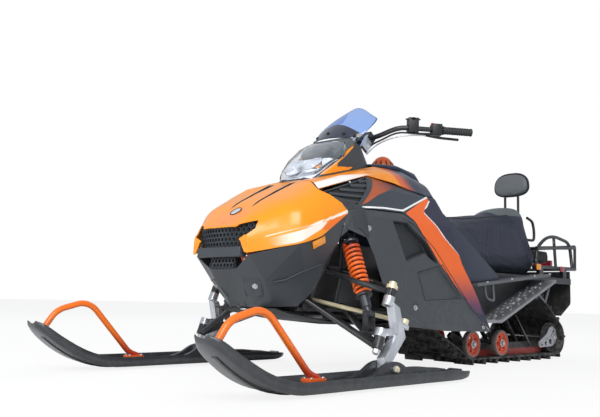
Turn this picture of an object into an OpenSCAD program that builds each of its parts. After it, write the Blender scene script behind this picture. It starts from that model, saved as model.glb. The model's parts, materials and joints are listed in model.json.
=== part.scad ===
/* [Skis and steering] */
// Distance between the centre lines of the two skis
ski_stance = 1000; // [900:10:1200]
// Width of a ski over its side walls
ski_width = 180; // [140:5:220]
// Distance from a ski's pivot forward to its tip
ski_front = 785; // [650:5:950]
// Distance from a ski's pivot back to its tail
ski_rear = 426; // [340:5:520]
// Height of the ski pivot bolt above the ground
ski_pivot_z = 58; // [50:1:70]
// Diameter of the ski pivot bolt
ski_bolt_d = 16; // [12:1:20]
// Backward lean of the kingpin
kingpin_lean = 21; // [15:1:24]
// Distance between the upper and lower ball joints
kingpin_span = 155; // [130:5:186]
// Diameter of the studs that a spindle turns on
stud_d = 16; // [12:1:20]
// Backward lean of the steering post
post_lean = 37.6; // [34:0.1:40]
// Diameter of the steering post
post_d = 24; // [18:1:30]
// Width of the handlebar over its grips
bar_w = 740; // [620:10:890]

/* [Track and tunnel] */
// Width of the track
track_w = 400; // [330:10:480]
// Thickness of the track belt
belt_t = 8; // [6:1:12]
// Height of the lugs on the belt
lug_h = 24; // [18:1:29]
// Number of lugs around the belt
lug_count = 58; // [48:1:70]
// Free width between the track and each tunnel side
tunnel_gap = 12; // [8:1:20]
// Thickness of the tunnel sheet
sheet_t = 3; // [2:0.5:5]
// Height of the tunnel top
tunnel_top = 436; // [430:1:450]
// Width of each running board
board_w = 118; // [90:2:140]
// Diameter of the idler wheels
idler_d = 128; // [106:1:150]

/* [Body] */
// Width of the body over the side panels
body_w = 716; // [600:2:860]
// Thickness of the plastic panels
panel_t = 4; // [3:0.5:6]
// Width of the windshield
shield_w = 290; // [240:5:340]
// Thickness of the windshield
shield_t = 4; // [3:0.5:5]
// Width of the seat at its foot
seat_w = 400; // [340:5:470]
// Height of the seat above the tunnel at its middle
seat_h = 276; // [230:2:320]
// Width of the backrest pad
pad_w = 240; // [200:5:288]
// Height of the backrest pad
pad_h = 136; // [110:2:164]
// Width of the rear rack over its rails
rack_w = 420; // [350:5:500]
// Diameter of the rack tubes
rack_tube = 20; // [16:1:24]

/* [Hidden] */
$fn = 48;

// X is measured from the ski pivots and the whole vehicle is then centred lengthwise
rack_rear = -2118;
centre_x = -(ski_front + rack_rear) / 2;
// Clearance of a turning fit, on the radius, and between faces that slide or touch
fit = 0.05;
seat_gap = 0.3;
// Half widths
ski_y = ski_stance / 2;
body_y = body_w / 2;
tunnel_y = track_w / 2 + tunnel_gap + sheet_t;
rack_y = rack_w / 2 - rack_tube / 2;

// Kingpin: the lower ball joint sits ahead of the ski bolt and inboard of the ski centre
kingpin = [10, ski_y - 15, 170];
// Steering post: its foot, and the distance along it to the handlebar clamp
post_foot = [25, 0, 365];
post_len = (994 - post_foot[2]) / cos(post_lean);
pitman_r = 75;
// Half the distance between the two tie rod pins on the pitman arm
pitman_y = 22;
// Tip of the steering arm in the kingpin's own frame
arm_tip = [-92, 15, 64];
// Pins of the tie rods, and the looser eyes around the inner ones
rod_pin_d = 10;
rod_eye_d = 24;
// Running gap between the belt and the wheels inside it
run_gap = 0.8;

// ---------- helpers ----------
function unit(v) = v / norm(v);
function lerp(a, b, t) = a + (b - a) * t;
function mirrored(p) = [p[0], -p[1], p[2]];
function reversed(list) = [for (i = [len(list) - 1:-1:0]) list[i]];
// A row of points across the body, from its left half given from the edge to the centre
function both_sides(half) = concat(half, [for (i = [len(half) - 2:-1:0]) mirrored(half[i])]);
function bezier(a, b, c, d, t) =
    a * pow(1 - t, 3) + 3 * b * t * pow(1 - t, 2) + 3 * c * t * t * (1 - t) + d * t * t * t;
// Surface normal of a grid of points at one of its points
function grid_normal(g, i, j) =
    let (rows = len(g) - 1, cols = len(g[0]) - 1)
    unit(cross(g[min(i + 1, rows)][j] - g[max(i - 1, 0)][j],
               g[i][min(j + 1, cols)] - g[i][max(j - 1, 0)]));

// Two triangles of a quad, split along its shorter diagonal
function split(g, i, j) = norm(g[i][j] - g[i + 1][j + 1]) <= norm(g[i][j + 1] - g[i + 1][j]) + 0.001;
function quad(a, b, c, d, first) = first ? [[a, b, c], [a, c, d]] : [[a, b, d], [b, c, d]];
// A closed panel: a grid of points is its outer face, and the wall lies inside it
module panel(g, wall) {
    rows = len(g);
    cols = len(g[0]);
    n = rows * cols;
    outer = [for (row = g) each row];
    inner = [for (i = [0:rows - 1]) for (j = [0:cols - 1]) g[i][j] - wall * grid_normal(g, i, j)];
    faces = concat(
        [for (i = [0:rows - 2]) for (j = [0:cols - 2]) let (a = i * cols + j)
            each quad(a, a + 1, a + cols + 1, a + cols, split(g, i, j))],
        [for (i = [0:rows - 2]) for (j = [0:cols - 2]) let (a = n + i * cols + j)
            each [for (f = quad(a, a + 1, a + cols + 1, a + cols, split(g, i, j))) reversed(f)]],
        [for (j = [0:cols - 2]) each [[j, n + j, n + j + 1], [j, n + j + 1, j + 1]]],
        [for (j = [0:cols - 2]) let (a = (rows - 1) * cols + j)
            each [[a, a + 1, a + n + 1], [a, a + n + 1, a + n]]],
        [for (i = [0:rows - 2]) let (a = i * cols)
            each [[a, a + cols, a + n + cols], [a, a + n + cols, a + n]]],
        [for (i = [0:rows - 2]) let (a = i * cols + cols - 1)
            each [[a, a + n, a + n + cols], [a, a + n + cols, a + cols]]]);
    polyhedron(points = concat(outer, inner), faces = faces);
}

// A solid through closed rings of points, all with the same count
module loft(rings) {
    m = len(rings);
    n = len(rings[0]);
    polyhedron(points = [for (ring = rings) each ring],
        faces = concat(
            [[for (k = [0:n - 1]) k]],
            [[for (k = [n - 1:-1:0]) (m - 1) * n + k]],
            [for (i = [0:m - 2]) for (k = [0:n - 1]) let (a = i * n + k, b = i * n + (k + 1) % n)
                each [[a, a + n, b + n], [a, b + n, b]]]));
}

// A round bar along a path
function ring_at(c, t, ref, r, sides) =
    let (b = unit(cross(t, ref)), a = cross(b, t))
    [for (k = [0:sides - 1]) c + r * (cos(360 * k / sides) * a + sin(360 * k / sides) * b)];
module sweep(path, r, sides = 10, ref = [0, 0, 1]) {
    last = len(path) - 1;
    loft([for (i = [0:last])
        let (back = i == 0 ? path[1] - path[0] : path[i] - path[i - 1],
             ahead = i == last ? back : path[i + 1] - path[i])
        ring_at(path[i], unit(unit(back) + unit(ahead)), ref, r, sides)]);
}
// The same path with its corners rounded
function rounded(path, r, steps = 4) =
    let (last = len(path) - 1)
    [for (i = [0:last]) each i == 0 || i == last ? [path[i]] :
        let (back = path[i - 1] - path[i], ahead = path[i + 1] - path[i],
             cut = min(r, norm(back) * 0.48, norm(ahead) * 0.48),
             a = path[i] + unit(back) * cut, b = path[i] + unit(ahead) * cut)
        [for (s = [0:steps]) lerp(lerp(a, path[i], s / steps), lerp(path[i], b, s / steps), s / steps)]];

module at_centre() translate([centre_x, 0, 0]) children();
module pair() {
    children();
    mirror([0, 1, 0]) children();
}
// A straight round bar from one point to another
module bar(a, b, d) {
    v = b - a;
    translate(a)
        rotate([0, acos(v[2] / norm(v)), atan2(v[1], v[0])])
            cylinder(h = norm(v), d = d);
}
// A plate drawn in the side view and set at a distance from the centre plane
module side_plate(points, y, t) {
    translate([0, y + t, 0])
        rotate([90, 0, 0])
            linear_extrude(t)
                polygon(points);
}
// Frames of the steering parts
module at_post() translate(post_foot) rotate([0, -post_lean, 0]) children();
module at_kingpin() translate(kingpin) rotate([0, -kingpin_lean, 0]) children();

// ---------- body surfaces ----------
// Half width of the body side at a place in the side view
function side_y(x, z) =
    let (upper = 285 - (z - 720) * 1.015,
         waist = 335 - (z - 600) * 0.417,
         lower = 335 + (600 - z) * 0.055,
         y = z > 720 ? upper : z > 600 ? waist : lower)
    (body_y / 358) * y * (1 - 0.00085 * max(0, x + 130));
function on_side(p) = [p[0], side_y(p[0], p[1]), p[1]];
// A grid on the body side between a lower and an upper edge, each given from rear to front
function side_grid(low, high, rows) =
    [for (i = [0:rows]) [for (k = [0:len(low) - 1]) on_side(lerp(low[k], high[k], i / rows))]];
module side_skin(low, high, rows = 3, wall = panel_t) panel(side_grid(low, high, rows), wall);

// One half station across the hood or console: from the side edge up to the centre
function arch(x, crown, shoulder, side_top, half, edge, steps = 6) =
    [for (s = [0:steps]) let (p = bezier([half, edge], [half, side_top], [shoulder, crown],
        [0, crown], s / steps)) [x, p[0] * body_y / 358, p[1]]];
// Stations run from rear to front and points from right to left
function arch_grid(stations) = [for (s = stations)
    reversed(both_sides(arch(s[0], s[1], s[2], s[3], s[4], s[5])))];

// Hood: place along X, crown height, shoulder, side top, half width and edge height
hood_stations = [
    [112, 691, 256, 691, 301, 508],
    [145, 673, 248, 672, 296, 494],
    [200, 643, 228, 640, 284, 476],
    [255, 603, 185, 604, 226, 460],
    [300, 570, 150, 574, 180, 447],
    [336, 538, 140, 538, 152, 438]];
// Rear edge of the hood, from its lower tip around the vent to the pod
hood_rear = [[-31, 300, 606], [12, 297, 640], [56, 282, 664], [90, 252, 683], [56, 180, 723], [16, 90, 742],
    [-5.4, 0, 746]];
module hood() color("orange") at_centre() {
    difference() {
        panel(concat([reversed(both_sides(widened(hood_rear)))], arch_grid(hood_stations)), panel_t);
        hood_slots();
    }
}
// Long air slot on each side of the hood's middle
module hood_slots() pair()
    translate([110, 62, 700])
        rotate([0, 27, 0])
            cube([150, 16, 80], center = true);

// Grille: two dark plates behind the nose opening
module nose_grille() color([0.05, 0.05, 0.06]) at_centre() {
    panel([for (v = [0:2]) [for (k = [0:6]) nose_point(1 - k / 3, v / 2)]], 4);
    translate([309, -72, fascia_lip + 2.6])
        cube([5, 144, bar_low - fascia_lip - 2.6 - seat_gap]);
}
// Grey bar between the two grilles: its lower and upper edge, and the fascia's upper lip
bar_low = 426;
bar_high = 462;
fascia_lip = 386;
function nose_point(s, v) = [330 - 34 * s * s, s * 138 * body_y / 358,
    lerp(bar_high + seat_gap, 534 + 20 * s * s, v)];
module nose_bar() color([0.3, 0.31, 0.33]) at_centre()
    translate([308, -120, bar_low])
        cube([34, 240, bar_high - bar_low]);

// Fascia: rows from its lower to its upper edge, from the left rear around the nose
fascia_low = [[14, 222, 384], [52, 205, 312], [105, 175, 256], [175, 125, 252], [205, 65, 250], [212, 0, 250]];
fascia_mid = [[8, 288, 500], [42, 268, 440], [120, 225, 370], [245, 150, 345], [280, 75, 335], [288, 0, 332]];
fascia_top = [[-22, 298, 599], [62, 298, 540.5], [200, 281, 474], [322, 148, 433], [314, 75, fascia_lip],
    [314, 0, fascia_lip]];
function widened(row) = [for (p = row) [p[0], p[1] * body_y / 358, p[2]]];
module front_fascia() color([0.2, 0.21, 0.23]) at_centre()
    panel([both_sides(widened(fascia_low)), both_sides(widened(fascia_mid)),
        both_sides(widened(fascia_top))], panel_t);

// Amber reflectors on the fascia sides
module side_reflectors() color("darkorange") at_centre() pair() {
    translate([114.4, 286.9 * body_y / 358, 485.4])
        rotate([-16.4, 0, 1.1])
            rotate([0, 26, 0])
                cube([60, 7, 28], center = true);
    rail_reflector(-1650);
}
// A small reflector on the outer face of the rack's lower rail
module rail_reflector(x) translate([x - 22, rack_y + rack_tube / 2 + seat_gap, rack_foot - 15])
    cube([44, 6, 30]);

// Belly pan under the nose
belly = [[205, 249.6], [150, 236], [-85, 203], [-354, 191], [-496, 202]];
module belly_pan() color([0.07, 0.07, 0.08]) at_centre()
    side_plate(concat(belly, reversed([for (p = belly) p + [0, -panel_t]])), -170, 340);

// Front frame: rails for the lower and upper arms, uprights, spring bridge and the steering bearings
frame_y = 150;
frame_z = 247;
upper_y = 186;
upper_z = 397;
arm_low_y = 176 + seat_gap;
arm_high_y = 203 + seat_gap;
// Inner ends of the lower arm's two tubes, as X and Z
low_pivots = [[-140, 262], [58, 282]];
high_pivots = [-118, -14];
bridge = [-72, 270, 553];
// Places of the two bearings along the steering post, and their length
post_bearings = [70, 463];
bearing_h = 28;
module front_frame() color([0.1, 0.1, 0.11]) at_centre() difference() {
    union() {
        pair() {
            translate([-168, frame_y - 13, frame_z - 7])
                cube([260, 26, 13]);
            bar([-150, frame_y, frame_z], [tunnel_front + 2.9, tunnel_y - sheet_t / 2, 246], 25);
            for (p = low_pivots)
                translate([p[0] - 11, frame_y - 12, frame_z])
                    cube([22, arm_low_y - 7 - seat_gap - frame_y + 12, p[1] - frame_z + 11]);
            translate([-142, upper_y - 11, upper_z - 13])
                cube([156, arm_high_y - 6 - seat_gap - upper_y + 11, 26]);
            bar([-116, frame_y + 2, frame_z], [-122, upper_y, upper_z], 20);
            sweep([[34, frame_y + 1, frame_z], [-4, upper_y - 1, upper_z]], 10, 12);
            bar([-108, upper_y, upper_z], [bridge[0], bridge[1] - 40, bridge[2]], 21);
            // Ears that hold the head of the damper
            for (s = [-1, 1])
                translate([shock_head[0] + s * (eye_half + seat_gap + 3) - 3, shock_head[1] - 12, shock_head[2] - 12])
                    cube([6, 24, bridge[2] - shock_head[2] + 12]);
            bar([bridge[0], 150, bridge[2]], at_t(480) + [0, 24, 0], 20);
        }
        bar([bridge[0], -bridge[1], bridge[2]], [bridge[0], bridge[1], bridge[2]], 24);
        pair() translate([bridge[0] - 22, bridge[1] - 24, bridge[2] - 8])
            cube([44, 30, 18]);
        for (x = [-120, 76])
            bar([x, -frame_y + 4, frame_z], [x, frame_y - 4, frame_z], 19);
        // Bearings of the steering post and the bar that holds the lower one
        for (t = post_bearings)
            at_post() translate([-28, -28, t])
                cube([56, 56, bearing_h]);
        bar([4, -upper_y, 432], [4, upper_y, 432], 18);
        pair() bar([3, upper_y - 5, 434], [-12, upper_y - 3, upper_z], 17);
        // Tab under the headlight pod
        translate([-262, -20, 740])
            cube([24, 40, pod_floor - seat_gap - 740]);
        // Engine cradle
        translate([-440, -frame_y - 25, 227])
            cube([260, 2 * frame_y + 50, cradle_top - 227]);
    }
    at_post() cylinder(h = post_len, d = post_d + 2 * fit);
    at_post() translate([0, 0, post_bearings[0] + bearing_h + seat_gap])
        cylinder(h = post_bearings[1] - post_bearings[0] - bearing_h - 2 * seat_gap, d = post_d + 14);
    pair() translate(shock_head)
        rotate([0, 90, 0])
            cylinder(h = 80, d = shock_pin_d, center = true);
}
cradle_top = 241;
function at_t(t) = post_foot + t * [-sin(post_lean), 0, cos(post_lean)];

// Engine block in its bay
module engine() color([0.35, 0.36, 0.38]) at_centre()
    translate([-430, -128, cradle_top + seat_gap])
        cube([262, 256, 266]);

// ---------- headlight, windshield ----------
// Pod stations: place along X, foot height, crown height and half width
pod_floor = 768;
pod_stations = [[-353, 806, 872, 116], [-300, 790, 936, 128], [-240, pod_floor, 956, 134],
    [-180, 762, 930, 134], [-110, 755, 866, 126], [-50, 748, 804, 100], [-6, 746, 762, 56]];
function pod_ring(s, inset = 0) = let (foot = s[1] + inset, crown = s[2] - inset, half = s[3] - inset)
    [[s[0], -half, foot], [s[0], half, foot], [s[0], half, lerp(foot, crown, 0.6)],
     [s[0], half * 0.92, lerp(foot, crown, 0.92)], [s[0], half * 0.55, crown],
     [s[0], -half * 0.55, crown], [s[0], -half * 0.92, lerp(foot, crown, 0.92)],
     [s[0], -half, lerp(foot, crown, 0.6)]];
module pod_body(inset = 0) translate([-inset, 0, 0]) loft([for (s = pod_stations) pod_ring(s, inset)]);
// Side view of the space that the lamp takes from the front of the pod
lamp_side = [[8, 706], [-196, 872], [-196, 1000], [60, 1000]];
lamp_lean = atan2(872 - 706, 204);
module lamp_space(gap = 0) translate([gap, 0, gap]) side_plate(lamp_side, -200, 400);
module headlight_pod() color([0.22, 0.23, 0.25]) at_centre() difference() {
    pod_body();
    lamp_space();
    post_space();
}
// Room around the steering post
module post_space() at_post() translate([0, 0, 500]) cylinder(h = post_len - 560, d = post_d + 44);
module headlight_lens() color([0.85, 0.9, 0.95]) at_centre() difference() {
    intersection() {
        pod_body();
        lamp_space(seat_gap);
    }
    intersection() {
        pod_body(4);
        lamp_space(-20);
    }
}
module headlight_reflectors() color([0.9, 0.9, 0.92]) at_centre() pair()
    translate([-104, 54, 797 + 2 * seat_gap])
        rotate([0, lamp_lean, 0])
            cylinder(h = 12, d = 90);

// Windshield: rows from its foot to its top
function shield_point(s, v) = let (half = shield_w / 2 * (0.9 + 0.14 * sin(v * 150) - 0.16 * v * v))
    [-206 - 76 * s * s - v * (202 - 66 * s * s) + 12 * sin(v * 180), s * half, 955.5 + s * s + v * (172 - 50 * s * s)];
module windshield() color([0.45, 0.6, 0.85]) at_centre()
    panel([for (v = [0:5]) [for (k = [0:10]) shield_point(1 - k / 5, v / 5)]], shield_t);

// ---------- console and side panels ----------
console_stations = [
    [-884, 668, 120, 668, 168, 600],
    [-800, 716, 125, 716, 180, 640],
    [-700, 800, 125, 800, 185, 700],
    [-620, 868, 125, 862, 178, 800],
    [-526, 884, 120, 872, 150, 850],
    [-440, 876, 120, 866, 142, 850],
    [-353.6, 858, 110, 856, 134, 846]];
module console() color([0.1, 0.12, 0.2]) at_centre() difference() {
    panel(arch_grid(console_stations), panel_t);
    post_space();
}
module filler_cap() color("orangered") at_centre()
    translate([-595, 0, 882])
        intersection() {
            scale(1) sphere(d = 116);
            cylinder(h = 57, d = 116);
        }

// Side shrouds: the deck beside the pod and the tapering band behind the side panel
deck_inner = [[-600, 180, 812], [-526, 153.5, 846], [-440, 146, 846], [-356, 140, 843], [-240, 137.8, 812],
    [-120, 132, 778], [14, 96, 742]];
deck_outer = [[-592, 280, 728], [-526, 282, 730], [-440, 268, 745], [-356, 252, 764], [-204, 236, 777],
    [-90, 244, 742], [84, 250, 687]];
function deck_mid() = [for (i = [0:6]) lerp(deck_outer[i], deck_inner[i], 0.5) + [0, 10, 8]];
band_low = [[-922, 167], [-778, 256], [-660, 350], [-548, 440], [-388, 604], [-326, 634], [-72, 628]];
band_high = [[-876, 236], [-800, 345], [-716, 448], [-660, 560], [-595, 728], [-440, 748], [-204, 772]];
module side_shrouds() color([0.85, 0.35, 0.15]) at_centre() pair() {
    panel([widened(deck_outer), widened(deck_mid()), widened(deck_inner)], panel_t);
    side_skin(band_low, band_high);
}
// Side vents: louvred triangles behind the hood
vent_low = [[-70.6, 628.6], [-10, 645], [80, 668]];
vent_high = [[-197.4, 767], [-90, 731], [80, 672]];
module side_vents() color([0.08, 0.08, 0.09]) at_centre() pair()
    side_skin(vent_low, vent_high, 4, 3);

// Side panels: the large grey covers between the shock opening and the band
panel_low = [[-918, 163], [-760, 166], [-574, 170], [-324, 189], [-187, 314], [-98, 517], [-14, 545]];
panel_high = [[-905, 172], [-782, 250], [-664, 344], [-551, 436], [-390, 599], [-326, 629], [-72, 622]];
module side_panels() color([0.2, 0.21, 0.23]) at_centre() pair()
    side_skin(panel_low, panel_high);

// Rear covers: dark panels between the band, the seat and the foot rail
cover_low = [[-1140, 399], [-1000, 384.8], [-880, 376], [-800, 352]];
cover_high = [[-1140, 416], [-950, 530], [-760, 640], [-600, 724]];
function cover_point(p) = [p[0], lerp(tunnel_y + 60, 255 * body_y / 358, (p[1] - 350) / 374), p[1]];
module rear_covers() color([0.1, 0.12, 0.2]) at_centre() pair()
    panel([for (v = [0:3]) [for (k = [0:3]) cover_point(lerp(cover_low[k], cover_high[k], v / 3))]], panel_t);

// ---------- seat, backrest ----------
seat_mid = tunnel_top + seat_h;
seat_side = [[-782, 626], [-884.3, 592], [-884.3, seat_mid - 40], [-1030, seat_mid - 22], [-1171, seat_mid], [-1400, seat_mid + 30],
    [-1600, seat_mid + 72], [-1668, seat_mid + 92], [-1706, seat_mid + 78], [-1690, 620], [-1650, tunnel_top + seat_gap],
    [-1120, tunnel_top + seat_gap]];
seat_plan = [[-1750, seat_w / 2 - 18], [-1590, seat_w / 2 - 18], [-1400, seat_w / 2], [-1100, seat_w / 2],
    [-780, seat_w / 2 - 12]];
module seat() color([0.1, 0.13, 0.24]) at_centre()
    intersection() {
        side_plate(seat_side, -seat_w, 2 * seat_w);
        linear_extrude(1000)
            polygon(concat(seat_plan, reversed([for (p = seat_plan) [p[0], -p[1]]])));
        translate([-2000, 0, 0])
            rotate([90, 0, 90])
                linear_extrude(1400)
                    polygon([[-seat_w / 2, 400], [seat_w / 2, 400], [seat_w / 2 - 12, 600],
                        [seat_w / 2 - 60, 740], [seat_w / 4, 830], [-seat_w / 4, 830],
                        [-seat_w / 2 + 60, 740], [-seat_w / 2 + 12, 600]]);
    }

pad_foot = [-1755, 0, 887];
module backrest_pad() color([0.4, 0.41, 0.43]) at_centre()
    translate([pad_foot[0] - 24, 0, pad_foot[2]])
        rotate([90, 0, 90])
            linear_extrude(48)
                hull() {
                    for (s = [-1, 1]) {
                        translate([s * (pad_w / 2 - 44), 44])
                            circle(r = 44);
                        translate([s * (pad_w / 2 - 88), pad_h - 50])
                            circle(r = 50);
                    }
                }
post_y = 40;
module backrest_posts() color([0.12, 0.12, 0.13]) at_centre() {
    for (s = [-1, 1])
        translate([pad_foot[0], s * post_y, deck_z(pad_foot[0]) + deck_bar / 2 + seat_gap])
            cylinder(h = pad_foot[2] - 2 * seat_gap - deck_z(pad_foot[0]) - deck_bar / 2, d = 14);
    translate([pad_foot[0], 0, 660])
        cube([18, 2 * post_y, 8], center = true);
}

// ---------- rear rack ----------
rack_z = 592;
// Height of the lower rails of the rack
rack_foot = 486;
rack_end = rack_rear + rack_tube / 2;
deck_bar = 16;
rear_bar_z = 622;
function deck_z(x) = rack_z - 6 - (x + 1640) * 0.066;
module rear_rack() color([0.06, 0.06, 0.07]) at_centre() {
    pair() {
        sweep(rounded([[-1644, rack_y, rack_foot - 6], [-1650, rack_y, rack_z - 8], [-1760, rack_y, 650],
            [-1860, rack_y, 664], [-2040, rack_y, 640], [-2072, rack_y, rack_foot + 4]], 50), rack_tube / 2 - 1);
        sweep([[-1651, rack_y, deck_z(-1651)], [rack_end, rack_y, deck_z(rack_end)]], rack_tube / 2);
        sweep([[-1620, rack_y, rack_foot], [rack_end + 3, rack_y, rack_foot + 8]], rack_tube / 2);
        sweep([[-1870, rack_y, rack_foot], [-1850, rack_y, 660]], rack_tube / 2 - 2, ref = [1, 0, 0]);
        sweep([[-2104, rack_y, rack_foot + 6], [-2108, rack_y, deck_z(-2108)]], rack_tube / 2 - 2, ref = [1, 0, 0]);
        // Feet that stand on the tunnel
        for (x = [-1690, -1960])
            translate([x - 20, rack_y - 12, tunnel_top + seat_gap])
                cube([40, 20, rack_foot - tunnel_top]);
    }
    for (x = [pad_foot[0], -1880, -2000])
        bar([x, -rack_y - 3, deck_z(x)], [x, rack_y + 3, deck_z(x)], deck_bar);
    bar([rack_end + 4, -rack_y - 4, rear_bar_z], [rack_end + 4, rack_y + 4, rear_bar_z], rack_tube);
    bar([rack_end + 4, -rack_y - 3, rack_foot + 8], [rack_end + 4, rack_y + 3, rack_foot + 8], rack_tube - 1);
}
// Handles at the rear of the seat
module grab_bar() color([0.06, 0.06, 0.07]) at_centre() pair()
    sweep(rounded([[-1704.5, 120, 757], [-1765, 120, 742], [-1782, 120, 690], [-1780, 120, 638],
        [-1692.6, 120, 636]], 22), 7.5, ref = [0, 1, 0]);
module rack_box() color([0.05, 0.05, 0.06]) at_centre()
    translate([-1922, -130, 520])
        cube([186, 260, deck_z(pad_foot[0]) - deck_bar / 2 - seat_gap - 520]);
module tail_light() color("firebrick") at_centre() {
    translate([rack_end - 9, -60, rack_foot + 8 + rack_tube / 2 - 0.5 + seat_gap])
        cube([26, 120, 44]);
    pair() rail_reflector(-1920);
}

// ---------- tunnel ----------
tunnel_front = -446;
tunnel_rear = -2020;
// Side of the tunnel: it runs low beside the feet and kicks up at the rear
board_z = 200;
kick_x = -1060;
kick_end = [-1600, 402];
tunnel_side = [[tunnel_front, board_z], [kick_x, board_z], kick_end, [tunnel_rear, 404],
    [tunnel_rear, tunnel_top], [tunnel_front, tunnel_top]];
module tunnel() color([0.14, 0.14, 0.15]) at_centre() {
    difference() {
        side_plate(tunnel_side, -tunnel_y, 2 * tunnel_y);
        translate([tunnel_rear - 1, -tunnel_y + sheet_t, 0])
            cube([tunnel_front - tunnel_rear + 2, 2 * (tunnel_y - sheet_t), tunnel_top - sheet_t]);
    }
}
board_profile = [[tunnel_front, board_z], [kick_x, board_z], kick_end];
board_t = 14;
module running_boards() color([0.6, 0.61, 0.63]) at_centre() pair()
    difference() {
        side_plate(concat(board_profile, reversed([for (p = board_profile) p + [0, board_t]])),
            tunnel_y + seat_gap, board_w);
        for (i = [0:8])
            translate([kick_x - 40 - 55 * i, tunnel_y + board_w * 0.55, board_z + 20 + 20.6 * i])
                cylinder(h = 80, d = 26, center = true);
    }
rail_y = tunnel_y + 85;
module foot_rails() color([0.3, 0.31, 0.33]) at_centre() pair() {
    translate([-1262, tunnel_y + seat_gap + 42, 404])
        rotate([0, 5.9, 0])
            cube([700, 84, 14], center = true);
    sweep(rounded([[-985, rail_y - 12, 376], [-1000, rail_y - 12, 310], [-1070, rail_y - 12, 296],
        [-1056, rail_y - 12, 384]], 20), 6, ref = [0, 1, 0]);
}
hitch_z = tunnel_top - sheet_t - 5 - seat_gap;
module snow_flap() color([0.04, 0.04, 0.05]) at_centre() difference() {
    translate([tunnel_rear - 4.6, 0, 350])
        cube([8, 2 * tunnel_y - 4, 256], center = true);
    translate([tunnel_rear - 20, -34, hitch_z - 10])
        cube([40, 68, 20]);
}
module hitch() color([0.1, 0.1, 0.11]) at_centre() difference() {
    union() {
        translate([-2090, -30, hitch_z - 5])
            cube([140, 60, 10]);
        translate([-2090, 0, hitch_z - 6])
            cylinder(h = 12, d = 60);
    }
    translate([-2090, 0, hitch_z - 30])
        cylinder(h = 60, d = 16);
}

// ---------- track ----------
// The belt runs around four wheels, each with a centre and the radius of the belt's outer face
loop_wheels = [
    [[-1870, 104 + lug_h - 15], 89],
    [[-1036, idler_d / 2 + belt_t + lug_h], idler_d / 2 + belt_t],
    [[-620, 300], 84],
    [[-1620, 330], 54]];
function tangent_angle(a, b) = let (v = b[0] - a[0]) atan2(v[1], v[0]) - acos((a[1] - b[1]) / norm(v));
tangents = [for (i = [0:3]) tangent_angle(loop_wheels[i], loop_wheels[(i + 1) % 4])];
function on_wheel(i, angle, out) = loop_wheels[i][0] + (loop_wheels[i][1] + out) * [cos(angle), sin(angle)];
// Angle that the belt turns around each wheel, and the lengths of arcs and straights
function turn(i) = (tangents[i] - tangents[(i + 3) % 4] + 720) % 360;
arcs = [for (i = [0:3]) turn(i) * PI / 180 * loop_wheels[i][1]];
straights = [for (i = [0:3]) norm(on_wheel((i + 1) % 4, tangents[i], 0) - on_wheel(i, tangents[i], 0))];
function travelled(n) = n == 0 ? 0 : travelled(n - 1) + arcs[n - 1] + straights[n - 1];
loop_len = travelled(4);
// Point at a distance along the belt, raised from its outer face
function belt_at(s, out, i = 0) =
    let (t = s - travelled(i))
    i < 3 && t >= arcs[i] + straights[i] ? belt_at(s, out, i + 1) :
    t < arcs[i] ? on_wheel(i, tangents[(i + 3) % 4] + turn(i) * t / arcs[i], out) :
    lerp(on_wheel(i, tangents[i], out), on_wheel((i + 1) % 4, tangents[i], out), (t - arcs[i]) / straights[i]);
lug_pitch = loop_len / lug_count;
lug_foot = 10;
lug_tip = 6;
function lug_outline() = [for (k = [0:lug_count - 1]) let (s = k * lug_pitch) each [
    belt_at(s + lug_pitch * 0.25, 0), belt_at(s + lug_pitch * 0.5 - lug_foot, 0),
    belt_at(s + lug_pitch * 0.5 - lug_tip, lug_h), belt_at(s + lug_pitch * 0.5 + lug_tip, lug_h),
    belt_at(s + lug_pitch * 0.5 + lug_foot, 0)]];
function belt_inside() = [for (k = [0:4 * lug_count - 1]) belt_at(k * lug_pitch / 4, -belt_t)];
module track() color([0.05, 0.05, 0.05]) at_centre()
    translate([0, track_w / 2, 0])
        rotate([90, 0, 0])
            linear_extrude(track_w)
                difference() {
                    polygon(lug_outline());
                    polygon(belt_inside());
                }

// Wheels and rails inside the track
wheel_z = loop_wheels[1][0][1];
belt_low = lug_h + belt_t;
module wheel(d, w, bore) rotate([90, 0, 0])
    difference() {
        cylinder(h = w, d = d, center = true);
        cylinder(h = w + 2, d = bore, center = true);
        for (s = [-1, 1])
            translate([0, 0, s * (w / 2)])
                cylinder(h = w / 2, d = d * 0.72, center = true);
    }
rail_gauge = 0.62 * track_w;
axle_d = 20;
idler_x = [-1036, -1296];
// Carrying pins of the skid arms in the rails, each along Y
arm_pins = [[-1130, belt_low + 44], [-1640, belt_low + 44]];
module slide_rails() color([0.5, 0.2, 0.17]) at_centre() pair() difference() {
    side_plate([[-1900, belt_low + 40], [-1900, belt_low + 84], [-1820, belt_low + 62], [-1120, belt_low + 62],
        [-960, belt_low + 118], [-936, belt_low + 100], [-1010, belt_low + 40], [-1060, belt_low + seat_gap],
        [-1800, belt_low + seat_gap]], rail_gauge / 2 - 8, 16);
    for (p = concat([for (x = idler_x) [x, wheel_z]], [loop_wheels[0][0]]))
        translate([p[0], rail_gauge / 2, p[1]])
            rotate([90, 0, 0])
                cylinder(h = 40, d = axle_d + 2 * seat_gap, center = true);
}
module idler_wheels() color("orangered") at_centre() {
    for (x = idler_x)
        translate([x, 0, wheel_z]) {
            for (s = [-1, 1])
                translate([0, s * (track_w / 2 - 14), 0])
                    wheel(idler_d - 2 * run_gap, 24, axle_d - 1);
            rotate([90, 0, 0])
                cylinder(h = track_w - 6, d = axle_d, center = true);
        }
}
rear_wheel_d = 2 * (loop_wheels[0][1] - belt_t - run_gap);
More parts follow.
